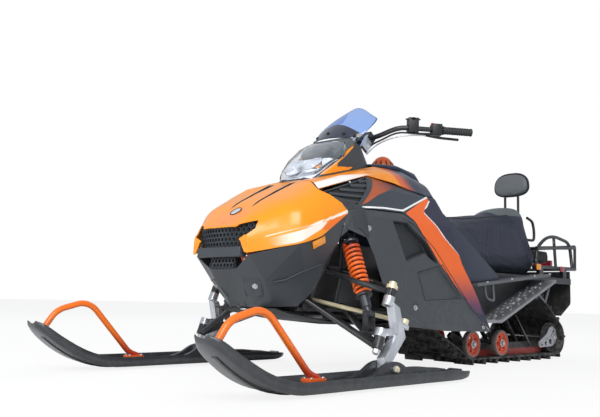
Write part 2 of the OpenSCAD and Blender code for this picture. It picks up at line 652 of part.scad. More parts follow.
module rear_wheels() color([0.7, 0.71, 0.73]) at_centre()
    translate([loop_wheels[0][0][0], 0, loop_wheels[0][0][1]]) {
        for (s = [-1, 1])
            translate([0, s * (track_w / 2 - 44), 0])
                wheel(rear_wheel_d, 26, axle_d - 1);
        rotate([90, 0, 0])
            cylinder(h = track_w - 30, d = axle_d, center = true);
    }
drum = loop_wheels[2];
module drive_axle() color([0.25, 0.26, 0.28]) at_centre()
    translate([drum[0][0], 0, drum[0][1]]) {
        rotate([90, 0, 0])
            cylinder(h = 2 * (tunnel_y - sheet_t - seat_gap), d = 26, center = true);
        for (s = [-1, 1])
            translate([0, s * track_w * 0.24, 0])
                rotate([90, 0, 0])
                    cylinder(h = 30, r = drum[1] - belt_t - run_gap, center = true);
        }
carrier = loop_wheels[3];
module skid_arms() color([0.1, 0.1, 0.11]) at_centre() {
    translate([carrier[0][0], 0, carrier[0][1]])
        rotate([90, 0, 0]) {
            cylinder(h = 2 * (tunnel_y - sheet_t - seat_gap), d = 20, center = true);
            for (s = [-1, 1])
                translate([0, 0, s * track_w * 0.2])
                    cylinder(h = 24, r = carrier[1] - belt_t - run_gap, center = true);
        }
    // Hangers that carry the upper wheels from the tunnel's sides
    pair() side_plate([[carrier[0][0] - 24, carrier[0][1] - 14], [carrier[0][0] + 24, carrier[0][1] - 14],
        [carrier[0][0] + 24, tunnel_top - sheet_t - seat_gap], [carrier[0][0] - 24, tunnel_top - sheet_t - seat_gap]],
        tunnel_y - sheet_t - seat_gap - 5, 5);
    for (s = [-1, 1]) {
        bar([-1130, s * (rail_gauge / 2 - 34), belt_low + 44], [-900, s * (rail_gauge / 2 - 34), 330], 23);
        bar([-1640, s * (rail_gauge / 2 - 34), belt_low + 44], [-1380, s * (rail_gauge / 2 - 34), 350], 23);
    }
    for (p = [[-900, 330], [-1380, 350]])
        bar([p[0], -(tunnel_y - sheet_t - seat_gap), p[1]], [p[0], tunnel_y - sheet_t - seat_gap, p[1]], 26);
    for (x = [-1130, -1640])
        bar([x, -rail_gauge / 2 + 8 + seat_gap, belt_low + 44], [x, rail_gauge / 2 - 8 - seat_gap, belt_low + 44], 22);
    bar([-1130, 0, belt_low + 44], [-1380, 0, 350], 40);
}

// ---------- front suspension ----------
upper_ball = kingpin + kingpin_span * [-sin(kingpin_lean), 0, cos(kingpin_lean)];
module upper_arms() color([0.08, 0.08, 0.09]) at_centre() pair() {
    for (path = [[[high_pivots[0], arm_high_y, upper_z], [-118, 385, 343], upper_ball],
                 [[high_pivots[1], arm_high_y, upper_z], [4, 300, 370], [4, 385, 347], upper_ball]])
        sweep(rounded(path, 40), 10, 10);
    for (x = high_pivots)
        bar([x - 18, arm_high_y, upper_z], [x + 18, arm_high_y, upper_z], 12);
    at_kingpin() translate([0, 0, kingpin_span - 16])
        cylinder(h = 32, d = 38);
    at_kingpin() translate([0, 0, kingpin_span - 50])
        cylinder(h = 40, d = stud_d);
    at_kingpin() translate([0, 0, kingpin_span + 10])
        cylinder(h = 18, d = 24);
}
module lower_arms() color([0.08, 0.08, 0.09]) at_centre() pair() {
    for (p = low_pivots) {
        sweep([[p[0], arm_low_y, p[1]], kingpin + [p[0] * 0.05 + 13, -12, -36]], 12, 12);
        bar([p[0] - 18, arm_low_y, p[1]], [p[0] + 18, arm_low_y, p[1]], 14);
    }
    at_kingpin() translate([0, 0, -50])
        cylinder(h = 42, d = 40);
    at_kingpin() translate([0, 0, -12])
        cylinder(h = 29, d = stud_d);
    // Seat of the damper's foot between two ears
    translate([-66, shock_foot[1] - 15, 165])
        cube([96, 30, 13]);
    difference() {
        for (s = [-1, 1])
            translate([shock_foot[0] + s * (eye_half + seat_gap + 3) - 3, shock_foot[1] - 12, 170])
                cube([6, 24, shock_foot[2] + 12 - 170]);
        translate(shock_foot)
            rotate([0, 90, 0])
                cylinder(h = 80, d = shock_pin_d, center = true);
    }
}
shock_head = [-72, 262, 522];
shock_foot = [-30, ski_y - 100, 236];
// Bolt through each damper eye, and half the length of the eye
shock_pin_d = 10;
eye_half = 15;
shock_axis = unit(shock_head - shock_foot);
shock_len = norm(shock_head - shock_foot);
module at_shock() translate(shock_foot)
    rotate([0, acos(shock_axis[2]), atan2(shock_axis[1], shock_axis[0])]) children();
module dampers() color([0.2, 0.2, 0.22]) at_centre() pair() {
    at_shock() {
        cylinder(h = 40, d = 24);
        translate([0, 0, 27])
            cylinder(h = 123, d = 36);
        cylinder(h = shock_len, d = 16);
        translate([0, 0, 70])
            cylinder(h = 8, d = 62);
        translate([0, 0, shock_len - 32])
            cylinder(h = 10, d = 62);
    }
    for (p = [shock_head, shock_foot])
        translate(p)
            rotate([0, 90, 0]) {
                cylinder(h = 2 * eye_half, d = 26, center = true);
                cylinder(h = 2 * eye_half + 14, d = shock_pin_d - 2 * fit, center = true);
            }
}
coil_turns = 8;
coil_steps = 12;
coil_wire = 11;
coil_rise = shock_len - 32 - 78 - coil_wire - 2 * seat_gap;
module coil_springs() color("orangered") at_centre() pair() at_shock()
    translate([0, 0, 78 + coil_wire / 2 + seat_gap])
        sweep([for (k = [0:coil_turns * coil_steps]) let (a = 360 * k / coil_steps)
            [27 * cos(a), 27 * sin(a), coil_rise * k / (coil_turns * coil_steps)]], coil_wire / 2, 8);

// ---------- steering ----------
// The post turns the pitman arm at its foot, which points back and down
module steering_post() color([0.15, 0.15, 0.16]) at_centre() at_post() {
    cylinder(h = post_len - 30, d = post_d);
    translate([-pitman_r - 12, -pitman_y - 10, -6])
        cube([24, 2 * pitman_y + 20, 12]);
    translate([-pitman_r, -20, -6])
        cube([pitman_r + 20, 40, 12]);
    translate([0, 0, -16])
        cylinder(h = 30, d = 42);
    for (s = [-1, 1])
        translate([-pitman_r, s * pitman_y, -32])
            cylinder(h = 30, d = rod_pin_d);
}
bar_half = bar_w / 2;
bar_path = [[-456, 0, 992], [-464, 70, 998], [-505, 160, 1036], [-757, bar_half - 9, 1028]];
bar_points = rounded(concat([for (i = [3:-1:1]) mirrored(bar_path[i])], bar_path), 40, 3);
bar_d = 22;
bar_dir = unit(bar_path[3] - bar_path[2]);
bar_run = norm(bar_path[3] - bar_path[2]);
// Frame on the handlebar's straight end: Z runs outward along it and X points down
module on_bar(dist) translate(bar_path[2] + bar_dir * dist)
    rotate([0, acos(bar_dir[2]), atan2(bar_dir[1], bar_dir[0])]) children();
module handlebar() color([0.08, 0.08, 0.09]) at_centre() {
    sweep(bar_points, bar_d / 2, 12);
    at_post() translate([0, 0, post_len - 30 + seat_gap])
        cylinder(h = 30, d = 46);
    at_post() translate([-22, -46, post_len - 12])
        cube([44, 92, 34]);
}
module bar_bore() cylinder(h = 900, d = bar_d + 2 * seat_gap, center = true);
grip_len = 128;
module grips() color([0.12, 0.12, 0.13]) at_centre() pair() on_bar(bar_run - grip_len)
    difference() {
        cylinder(h = grip_len + 5, d = 34);
        translate([0, 0, -1])
            cylinder(h = grip_len + 1 + seat_gap, d = bar_d + 2 * seat_gap);
    }
module brake_lever() color([0.12, 0.12, 0.13]) at_centre() {
    on_bar(62) difference() {
        translate([-44, -20, -22])
            cube([64, 44, 44]);
        bar_bore();
    }
    on_bar(62) sweep(rounded([[4, 22, 0], [10, 46, 30], [22, 50, 130], [26, 44, 220]], 30), 6, 8, ref = [1, 0, 0]);
}
module switch_pods() color([0.09, 0.09, 0.1]) at_centre() pair() on_bar(bar_run - grip_len - 50) difference() {
    translate([-24, -22, 0])
        cube([48, 44, 44]);
    bar_bore();
}

// ---------- spindles, tie rods and skis: left side, mirrored for the right ----------
spindle_w = 34;
// Half the free width between the ski's cheeks, and a cheek's thickness
foot_half = 21;
cheek_gap = 1.5;
cheek_t = 18;
// Side outline: from the upper boss back to the knee and forward to the ski bolt
spindle_side = [[-62, 262], [-28, 280], [-52, 170], [20, 92], [16, 40], [-22, 40], [-24, 82], [-96, 160]];
module at_arm_tip() at_kingpin() translate(arm_tip) children();
module spindle() color([0.78, 0.79, 0.82]) difference() {
    union() {
        side_plate(spindle_side, ski_y - foot_half, spindle_w);
        at_kingpin() translate([0, 0, kingpin_span - 16 - seat_gap - 34])
            cylinder(h = 34, d = 40);
        at_kingpin() translate([0, 0, -8 + seat_gap])
            cylinder(h = 28, d = 42);
        translate([-74, ski_y - 29, 166])
            cube([80, 26, 24]);
        at_kingpin() translate([arm_tip[0] - 14, arm_tip[1] - 14, arm_tip[2] - 8])
            cube([52, 28, 16]);
        translate([0, ski_y, ski_pivot_z])
            rotate([90, 0, 0])
                cylinder(h = 2 * foot_half, d = 40, center = true);
    }
    at_kingpin() translate([0, 0, -60])
        cylinder(h = kingpin_span + 80, d = stud_d + 2 * fit);
    at_arm_tip() cylinder(h = 60, d = rod_pin_d + 2 * fit, center = true);
}
// Bolt through the ski's cheeks, with a head on each end
module ski_bolt() color([0.85, 0.8, 0.4]) translate([0, ski_y, ski_pivot_z]) rotate([90, 0, 0]) {
    cylinder(h = 2 * (foot_half + cheek_gap + cheek_t) + 14, d = ski_bolt_d, center = true);
    for (s = [-1, 1])
        translate([0, 0, s * (foot_half + cheek_gap + cheek_t + 5)])
            cylinder(h = 8, d = ski_bolt_d + 10, center = true);
}
module spindle_with_bolt() {
    spindle();
    ski_bolt();
}
function king_frame(p) = kingpin + [p[0] * cos(kingpin_lean) - p[2] * sin(kingpin_lean), p[1],
    p[0] * sin(kingpin_lean) + p[2] * cos(kingpin_lean)];
rod_outer = king_frame(arm_tip + [0, 0, 8 + seat_gap + 9]);
rod_inner = at_t(-24) + pitman_r * [-cos(post_lean), 0, -sin(post_lean)] + [0, pitman_y, 0];
module tie_rod() color([0.85, 0.8, 0.62]) {
    dir = unit(rod_inner - rod_outer);
    bar(rod_outer + dir * 4, rod_inner - dir * (rod_eye_d / 2 + 2), 16);
    at_arm_tip() translate([0, 0, 8 + seat_gap])
        cylinder(h = 18, d = 30);
    at_arm_tip() translate([0, 0, -12])
        cylinder(h = 30, d = rod_pin_d);
    translate(rod_inner)
        rotate([0, -post_lean, 0])
            difference() {
                cylinder(h = 12, d = rod_eye_d + 10, center = true);
                cylinder(h = 20, d = rod_eye_d, center = true);
            }
}
// Sole: flat on the ground with the tip curving up
tip_start = 450;
function sole_z(x) = x > tip_start ? 0.00137 * pow(x - tip_start, 2) :
    x < -350 ? 0.0018 * pow(x + 350, 2) : 0;
sole_x = concat([-ski_rear, -390, -350, tip_start], [for (i = [1:8]) lerp(tip_start, ski_front, i / 8)]);
sole_t = 12;
function sole_strip(low, high) = concat([for (x = sole_x) [x, sole_z(x) + low]],
    reversed([for (x = sole_x) [x, sole_z(x) + high]]));
wall_h = 46;
ski_plan = [[-ski_rear, 0.36], [-ski_rear + 70, 0.5], [520, 0.5], [700, 0.42], [ski_front, 0.3]];
module ski() color([0.16, 0.17, 0.18]) difference() {
    union() {
        intersection() {
            union() {
                side_plate(sole_strip(8, 8 + sole_t), ski_y - ski_width / 2, ski_width);
                for (s = [-1, 1])
                    side_plate(sole_strip(8, wall_h), ski_y + s * (ski_width / 2 - 5) - 5, 10);
                side_plate(sole_strip(8, 30), ski_y - 30, 60);
            }
            translate([0, ski_y, -10])
                linear_extrude(400)
                    polygon(concat([for (p = ski_plan) [p[0], p[1] * ski_width]],
                        reversed([for (p = ski_plan) [p[0], -p[1] * ski_width]])));
        }
        // Keel under the middle
        side_plate(sole_strip(0, 10), ski_y - 12, 24);
        // Cheeks on both sides of the spindle's foot
        for (s = [-1, 1])
            side_plate([[-110, 22], [110, 22], [40, 82], [-30, 82]],
                ski_y + s * (foot_half + cheek_gap + cheek_t / 2) - cheek_t / 2, cheek_t);
    }
    translate([0, ski_y, ski_pivot_z])
        rotate([90, 0, 0])
            cylinder(h = ski_width + 40, d = ski_bolt_d + 2 * fit, center = true);
    translate([-75, ski_y - foot_half - cheek_gap, 20])
        cube([150, 2 * (foot_half + cheek_gap), 100]);
}
module ski_loop() color("orangered") {
    sweep(rounded([[330, ski_y, 42], [372, ski_y, 58], [540, ski_y, 236], [585, ski_y, 252],
        [690, ski_y, 222], [740, ski_y, 150]], 50), 13, 10, ref = [0, 1, 0]);
}

module spindle_left() at_centre() spindle_with_bolt();
module spindle_right() at_centre() mirror([0, 1, 0]) spindle_with_bolt();
module tie_rod_left() at_centre() tie_rod();
module tie_rod_right() at_centre() mirror([0, 1, 0]) tie_rod();
module ski_left() at_centre() ski();
module ski_right() at_centre() mirror([0, 1, 0]) ski();
module ski_loop_left() at_centre() ski_loop();
module ski_loop_right() at_centre() mirror([0, 1, 0]) ski_loop();

hood();
nose_grille();
nose_bar();
front_fascia();
side_reflectors();
belly_pan();
front_frame();
engine();
headlight_pod();
headlight_lens();
headlight_reflectors();
windshield();
console();
filler_cap();
side_shrouds();
side_vents();
side_panels();
rear_covers();
seat();
backrest_pad();
backrest_posts();
grab_bar();
rear_rack();
rack_box();
tail_light();
snow_flap();
tunnel();
running_boards();
foot_rails();
track();
slide_rails();
idler_wheels();
rear_wheels();
drive_axle();
skid_arms();
hitch();
upper_arms();
lower_arms();
dampers();
coil_springs();
steering_post();
handlebar();
grips();
brake_lever();
switch_pods();
spindle_left();
spindle_right();
tie_rod_left();
tie_rod_right();
ski_left();
ski_right();
ski_loop_left();
ski_loop_right();
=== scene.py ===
"""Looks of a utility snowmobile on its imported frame: panels, seat, track, running gear and finishes."""
import json
import logging
import math
from contextlib import contextmanager
from dataclasses import dataclass
from enum import Enum
from typing import Callable, Iterator, Sequence

import bpy
from mathutils import Matrix, Vector

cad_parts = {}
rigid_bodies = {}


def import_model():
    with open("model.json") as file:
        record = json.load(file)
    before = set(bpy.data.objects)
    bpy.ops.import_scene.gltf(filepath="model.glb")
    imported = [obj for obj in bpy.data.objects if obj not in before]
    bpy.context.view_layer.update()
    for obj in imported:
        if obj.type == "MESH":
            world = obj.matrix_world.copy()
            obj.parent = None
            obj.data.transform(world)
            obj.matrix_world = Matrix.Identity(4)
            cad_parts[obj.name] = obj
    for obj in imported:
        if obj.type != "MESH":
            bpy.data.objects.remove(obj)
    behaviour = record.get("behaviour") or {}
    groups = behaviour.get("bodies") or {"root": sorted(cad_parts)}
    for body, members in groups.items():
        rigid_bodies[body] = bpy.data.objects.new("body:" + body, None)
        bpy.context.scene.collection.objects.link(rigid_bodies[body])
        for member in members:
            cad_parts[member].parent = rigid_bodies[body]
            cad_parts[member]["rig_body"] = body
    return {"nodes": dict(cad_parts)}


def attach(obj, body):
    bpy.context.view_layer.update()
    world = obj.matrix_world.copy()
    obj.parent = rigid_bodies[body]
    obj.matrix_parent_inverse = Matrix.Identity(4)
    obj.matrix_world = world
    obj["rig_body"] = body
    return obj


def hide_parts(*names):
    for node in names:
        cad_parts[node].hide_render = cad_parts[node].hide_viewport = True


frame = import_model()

log = logging.getLogger("snowmobile")
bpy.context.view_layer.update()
# Millimetres along X from the ski pivots to the frame's origin
SHIFT = 666.5
# Signs of Y and names of the two sides
SIDES = ((1, "left"), (-1, "right"))
ACROSS, UP, AHEAD = Vector((0, 1, 0)), Vector((0, 0, 1)), Vector((1, 0, 0))
Point = Sequence[float]
Distance = Callable[[Vector], float]


def at(x: float, y: float, z: float) -> Vector:
    """Place in metres of a point given in millimetres from the ski pivots."""
    return Vector(((x + SHIFT) / 1000, y / 1000, z / 1000))


def local(co: Vector) -> Vector:
    """Millimetres from the ski pivots of a place in metres."""
    return Vector((co.x * 1000 - SHIFT, co.y * 1000, co.z * 1000))


class Body(str, Enum):
    """Bodies that pieces ride on."""

    CHASSIS = "chassis"
    STEERING = "steering"
    SPINDLE_L = "spindle_body_left"
    SPINDLE_R = "spindle_body_right"
    ROD_L = "tie_rod_body_left"
    ROD_R = "tie_rod_body_right"
    SKI_L = "ski_body_left"
    SKI_R = "ski_body_right"


# ---------- shapes in the plane ----------
def inside(outline: Sequence[Point], u: float, v: float) -> float:
    """Distance in millimetres from a polygon's edge, positive inside it.

    Args:
        outline: Corners as pairs.
        u: First coordinate.
        v: Second coordinate.

    Returns:
        Signed distance to the nearest edge.
    """
    best, odd = 1e9, False
    for (ax, ay), (bx, by) in zip(outline, list(outline[1:]) + [outline[0]]):
        dx, dy = bx - ax, by - ay
        t = max(0.0, min(1.0, ((u - ax) * dx + (v - ay) * dy) / (dx * dx + dy * dy)))
        best = min(best, math.hypot(u - ax - t * dx, v - ay - t * dy))
        if (ay > v) != (by > v) and u < ax + (v - ay) * dx / dy:
            odd = not odd
    return best if odd else -best


def near_line(path: Sequence[Point], u: float, v: float) -> float:
    """Distance in millimetres from an open line of points.

    Args:
        path: Points as pairs.
        u: First coordinate.
        v: Second coordinate.

    Returns:
        Distance to the nearest stretch.
    """
    best = 1e9
    for (ax, ay), (bx, by) in zip(path, path[1:]):
        dx, dy = bx - ax, by - ay
        t = max(0.0, min(1.0, ((u - ax) * dx + (v - ay) * dy) / (dx * dx + dy * dy)))
        best = min(best, math.hypot(u - ax - t * dx, v - ay - t * dy))
    return best


def ramp(value: float, low: float, high: float) -> float:
    """Smooth step from 0 at low to 1 at high."""
    t = max(0.0, min(1.0, (value - low) / (high - low)))
    return t * t * (3 - 2 * t)


def mix(a: Vector, b: Vector, t: float) -> Vector:
    """Point a share of the way from a to b."""
    return a + (b - a) * t


def along(points: Sequence[Point], count: int) -> list[Vector]:
    """Straight samples between corners.

    Args:
        points: Corners of the line.
        count: Number of samples for each stretch.

    Returns:
        The samples with the last corner.
    """
    out = []
    for a, b in zip(points, points[1:]):
        out += [mix(Vector(a), Vector(b), s / count) for s in range(count)]
    return out + [Vector(points[-1])]


def smooth_rows(rows: Sequence[Sequence[Vector]], steps: int) -> list[list[Vector]]:
    """Rows of points with smooth rows added between them.

    Args:
        rows: Rows with the same number of points.
        steps: Number of rows for each stretch.

    Returns:
        The finer rows, which pass through the given ones.
    """
    gaps = [max(1e-6, sum((b - a).length for a, b in zip(p, q)) / len(p)) for p, q in zip(rows, rows[1:])]
    slopes = []
    for i, row in enumerate(rows):
        back = [(b - a) / gaps[i - 1] for a, b in zip(rows[i - 1], row)] if i else None
        ahead = [(b - a) / gaps[i] for a, b in zip(row, rows[i + 1])] if i < len(gaps) else None
        if back and ahead:
            p, q = gaps[i - 1], gaps[i]
            slopes.append([(m * q + n * p) / (p + q) for m, n in zip(back, ahead)])
        else:
            slopes.append(back or ahead)
    out = []
    for i, gap in enumerate(gaps):
        for s in range(steps):
            t = s / steps
            h = (2 * t**3 - 3 * t * t + 1, (t**3 - 2 * t * t + t) * gap, 3 * t * t - 2 * t**3, (t**3 - t * t) * gap)
            out.append([a * h[0] + m * h[1] + b * h[2] + n * h[3]
                        for a, m, b, n in zip(rows[i], slopes[i], rows[i + 1], slopes[i + 1])])
    return out + [list(rows[-1])]


def rounded(path: Sequence[Point], radius: float, steps: int = 6) -> list[Vector]:
    """The same path with its corners rounded.

    Args:
        path: Corners of the path.
        radius: Length that a corner takes from each stretch, at most about half of it.
        steps: Number of stretches in a rounded corner.

    Returns:
        The rounded path.
    """
    pts = [Vector(p) for p in path]
    out = [pts[0]]
    for a, b, c in zip(pts, pts[1:], pts[2:]):
        cut = min(radius, (a - b).length * 0.48, (c - b).length * 0.48)
        p, q = b + (a - b).normalized() * cut, b + (c - b).normalized() * cut
        out += [mix(mix(p, b, s / steps), mix(b, q, s / steps), s / steps) for s in range(steps + 1)]
    return out + [pts[-1]]


def hoop(count: int, place: Callable[[float, float], Vector]) -> list[Vector]:
    """Points around a circle, each placed by its cosine and sine."""
    return [place(math.cos(math.tau * k / count), math.sin(math.tau * k / count)) for k in range(count)]


# ---------- modelling by operators ----------
def take(*objs: bpy.types.Object) -> None:
    """Leaves only these objects selected, with the first one active.

    Args:
        *objs: Objects to select.
    """
    if bpy.context.mode != "OBJECT":
        bpy.ops.object.mode_set(mode="OBJECT")
    bpy.ops.object.select_all(action="DESELECT")
    for obj in objs:
        obj.select_set(True)
    if objs:
        bpy.context.view_layer.objects.active = objs[0]


def made(name: str) -> bpy.types.Object:
    """Names the newest primitive.

    Args:
        name: Its name.

    Returns:
        The primitive.
    """
    obj = bpy.context.object
    obj.name = obj.data.name = name
    return obj


def settle(obj: bpy.types.Object) -> bpy.types.Object:
    """Puts the place of an object into its mesh.

    Args:
        obj: The object.

    Returns:
        The same object.
    """
    take(obj)
    bpy.ops.object.transform_apply(location=True, rotation=True, scale=True)
    return obj


@contextmanager
def editing(obj: bpy.types.Object) -> Iterator[None]:
    """Holds a piece in edit mode with all of its mesh selected.

    Args:
        obj: The piece.

    Yields:
        Nothing, while the piece is in edit mode.
    """
    take(obj)
    bpy.ops.object.mode_set(mode="EDIT")
    bpy.ops.mesh.select_all(action="SELECT")
    yield
    bpy.ops.object.mode_set(mode="OBJECT")


def worked(obj: bpy.types.Object, kind: str, **values: object) -> bpy.types.Object:
    """Adds a modifier and applies it.

    Args:
        obj: The piece.
        kind: Type of the modifier.
        **values: Its settings.

    Returns:
        The same piece.
    """
    take(obj)
    modifier = obj.modifiers.new(kind.title(), kind)
    for key, value in values.items():
        setattr(modifier, key, value)
    bpy.ops.object.modifier_apply(modifier=modifier.name)
    return obj


def soften(obj: bpy.types.Object, width: float, segments: int = 2, angle: float = 30) -> bpy.types.Object:
    """Rounds the edges sharper than an angle."""
    return worked(obj, "BEVEL", width=width, segments=segments, limit_method="ANGLE",
                  angle_limit=math.radians(angle), use_clamp_overlap=True)


def smooth(obj: bpy.types.Object, angle: float = 35) -> bpy.types.Object:
    """Shades smooth across the flatter edges.

    Args:
        obj: The piece.
        angle: Edges flatter than this in degrees are smooth.

    Returns:
        The same piece.
    """
    take(obj)
    bpy.ops.object.shade_smooth_by_angle(angle=math.radians(angle))
    return obj


def outward(obj: bpy.types.Object, hint: Vector | None = None) -> bpy.types.Object:
    """Turns faces out: towards a hint for an open skin, or away from the inside of a closed shape.

    Args:
        obj: The piece.
        hint: Direction that an open skin faces, or None for a closed shape.

    Returns:
        The same piece.
    """
    flip = hint is not None and sum((f.normal.dot(hint) * f.area for f in obj.data.polygons)) < 0
    if hint is None:
        with editing(obj):
            bpy.ops.mesh.remove_doubles(threshold=1e-6)
            bpy.ops.mesh.normals_make_consistent(inside=False)
    elif flip:
        with editing(obj):
            bpy.ops.mesh.flip_normals()
    return obj


def grid(name: str, rows: Sequence[Sequence[Vector]]) -> bpy.types.Object:
    """A sheet of faces through rows of points.

    Args:
        name: Name of the sheet.
        rows: Rows with the same number of points in metres.

    Returns:
        The sheet.
    """
    take()
    bpy.ops.mesh.primitive_grid_add(x_subdivisions=len(rows[0]) - 1, y_subdivisions=len(rows) - 1, size=1)
    obj = made(name)
    obj.data.vertices.foreach_set("co", [c for row in rows for p in row for c in p])
    obj.data.update()
    return obj


def skin(name: str, rows: Sequence[Sequence[Vector]], hint: Vector, wall: float = 0.004,
         edge: float = 0.0012) -> bpy.types.Object:
    """A curved panel through a grid of points.

    Args:
        name: Name of the piece.
        rows: Rows of points in metres.
        hint: Direction that the panel faces.
        wall: Thickness in metres, laid inside the points.
        edge: Rounding of the rim in metres.

    Returns:
        The panel.
    """
    obj = outward(grid(name, rows), hint)
    if wall:
        worked(obj, "SOLIDIFY", thickness=wall, offset=-1, use_even_offset=False)
        if edge:
            soften(obj, edge, 2, 60)
    return smooth(obj)


def loft(name: str, rings: Sequence[Sequence[Vector]]) -> bpy.types.Object:
    """A closed shape through rings of points, with its two ends filled.

    Args:
        name: Name of the piece.
        rings: Rings with the same number of points in metres.

    Returns:
        The shape.
    """
    obj = grid(name, [[*points, points[0]] for points in rings])
    with editing(obj):
        bpy.ops.mesh.remove_doubles(threshold=1e-5)
        bpy.ops.mesh.fill_holes(sides=0)
    return outward(obj)


def plate(name: str, outline: Sequence[Vector], push: Vector, edge: float = 0.001) -> bpy.types.Object:
    """A flat plate from an outline that is extruded.

    Args:
        name: Name of the piece.
        outline: Corners in metres.
        push: Thickness as a vector in metres.
        edge: Rounding of the edges in metres.

    Returns:
        The plate.
    """
    take()
    bpy.ops.mesh.primitive_circle_add(vertices=len(outline), radius=1, fill_type="NGON")
    obj = made(name)
    obj.data.vertices.foreach_set("co", [c for p in outline for c in p])
    obj.data.update()
    with editing(obj):
        bpy.ops.mesh.extrude_region_move(TRANSFORM_OT_translate={"value": tuple(push)})
    outward(obj)
    if edge:
        soften(obj, edge)
    return smooth(obj)


def block(name: str, low: Vector, high: Vector, edge: float = 0.002, segments: int = 2) -> bpy.types.Object:
    """A block with rounded edges between two corners.

    Args:
        name: Name of the piece.
        low: Corner with the smallest coordinates in metres.
        high: Corner with the largest coordinates in metres.
        edge: Rounding of the edges in metres.
        segments: Number of faces across a rounded edge.

    Returns:
        The block.
    """
    take()
    bpy.ops.mesh.primitive_cube_add(size=1, location=(low + high) / 2)
    obj = made(name)
    obj.scale = high - low
    settle(obj)
    soften(obj, edge, segments)
    return smooth(obj)


def turned(name: str, profile: Sequence[Point], place: Vector, axis: Vector, sides: int = 32,
           fill: str = "NGON") -> bpy.types.Object:
    """A turned shape: a circle that is extruded and scaled along its axis.

    Args:
        name: Name of the piece.
        profile: Radius and height pairs in metres, from the first face to the last.
        place: Foot of the axis in metres.
        axis: Direction of the axis.
        sides: Number of sides.
        fill: How the circle is filled, "NGON" for a solid shape or "NOTHING" for a ring.

    Returns:
        The shape.
    """
    take()
    radius, height = profile[0]
    bpy.ops.mesh.primitive_circle_add(vertices=sides, radius=radius, fill_type=fill, location=(0, 0, height))
    obj = settle(made(name))
    with editing(obj):
        for r, h in profile[1:]:
            bpy.ops.mesh.extrude_region_move(TRANSFORM_OT_translate={"value": (0, 0, h - height)})
            bpy.ops.transform.resize(value=(r / radius, r / radius, 1), center_override=(0, 0, h))
            radius, height = r, h
    lean = axis.normalized().to_track_quat("Z", "Y").to_matrix().to_4x4()
    obj.data.transform(Matrix.Translation(place) @ lean)
    return smooth(outward(obj), 40)


def ring(name: str, section: Sequence[Point], place: Vector, axis: Vector, sides: int = 40) -> bpy.types.Object:
    """A hollow ring from radius and height pairs in metres around its closed section."""
    return turned(name, [*section, section[0]], place, axis, sides, "NOTHING")


def tube(name: str, path: Sequence[Vector], radius: float, sides: int = 6,
         closed: bool = False) -> bpy.types.Object:
    """A round tube along a path, made as a bevelled curve and turned into a mesh.

    Args:
        name: Name of the piece.
        path: Points in metres.
        radius: Radius in metres.
        sides: Resolution of the section.
        closed: Whether the path closes on itself.

    Returns:
        The tube.
    """
    take()
    bpy.ops.curve.primitive_nurbs_path_add()
    obj = made(name)
    curve = obj.data
    curve.splines.clear()
    spline = curve.splines.new("POLY")
    spline.points.add(len(path) - 1)
    spline.points.foreach_set("co", [c for p in path for c in (*p, 1.0)])
    spline.use_cyclic_u = closed
    curve.dimensions, curve.bevel_depth, curve.bevel_resolution = "3D", radius, sides
    curve.use_fill_caps, curve.twist_mode = not closed, "MINIMUM"
    take(obj)
    bpy.ops.object.convert(target="MESH")
    return smooth(outward(made(name)), 60)


def copied(obj: bpy.types.Object, name: str, move: Matrix) -> bpy.types.Object:
    """A copy with its own mesh, moved by a matrix.

    Args:
        obj: The first piece.
        name: Name of the copy.
        move: Where the copy goes.

    Returns:
        The copy.
    """
    twin = bpy.data.objects.new(name, obj.data.copy())
    bpy.context.scene.collection.objects.link(twin)
    twin.data.transform(move)
    if move.determinant() < 0:
        twin.data.flip_normals()
    return twin


MIRROR = Matrix.Scale(-1, 4, (0, 1, 0))


def joined(name: str, objs: Sequence[bpy.types.Object]) -> bpy.types.Object:
    """Joins pieces of one finish into one.

    Args:
        name: Name of the joined piece.
        objs: The pieces, which are used up.

    Returns:
        The joined piece.
    """
    take(*objs)
    if len(objs) > 1:
        bpy.ops.object.join()
    return made(name)


def bored(obj: bpy.types.Object, cutter: bpy.types.Object) -> bpy.types.Object:
    """Cuts one piece with another.

    Args:
        obj: The piece.
        cutter: The shape that is taken away, which is used up.

    Returns:
        The cut piece.
    """
    worked(obj, "BOOLEAN", operation="DIFFERENCE", solver="EXACT", object=cutter)
    bpy.data.objects.remove(cutter)
    return smooth(obj)


def marked(obj: bpy.types.Object, name: str, rule: Distance) -> bpy.types.Object:
    """Stores a value for each point of a piece.

    Args:
        obj: The piece.
        name: Name of the attribute.
        rule: Gives the value at a place in millimetres.

    Returns:
        The same piece.
    """
    layer = obj.data.attributes.new(name, "FLOAT", "POINT")
    layer.data.foreach_set("value", [rule(local(v.co)) for v in obj.data.vertices])
    return obj


# ---------- finishes ----------
class Bench:
    """Builds node trees with short calls."""

    def __init__(self, tree: bpy.types.NodeTree) -> None:
        """Holds the tree."""
        self.tree = tree

    def add(self, kind: str, values: dict | None = None, **settings: object) -> bpy.types.Node:
        """Adds a node.

        Args:
            kind: Type of the node, without ShaderNode.
            values: Values or sockets for its inputs.
            **settings: Its settings, which are set first.

        Returns:
            The node.
        """
        node = self.tree.nodes.new("ShaderNode" + kind)
        for key, value in settings.items():
            setattr(node, key, value)
        for key, value in (values or {}).items():
            if isinstance(value, bpy.types.NodeSocket):
                self.tree.links.new(value, node.inputs[key])
            else:
                node.inputs[key].default_value = value
        return node

    def math(self, how: str, a: object, b: object = 0.0, c: object = 0.0) -> bpy.types.NodeSocket:
        """A Math node's result."""
        return self.add("Math", {0: a, 1: b, 2: c}, operation=how).outputs[0]


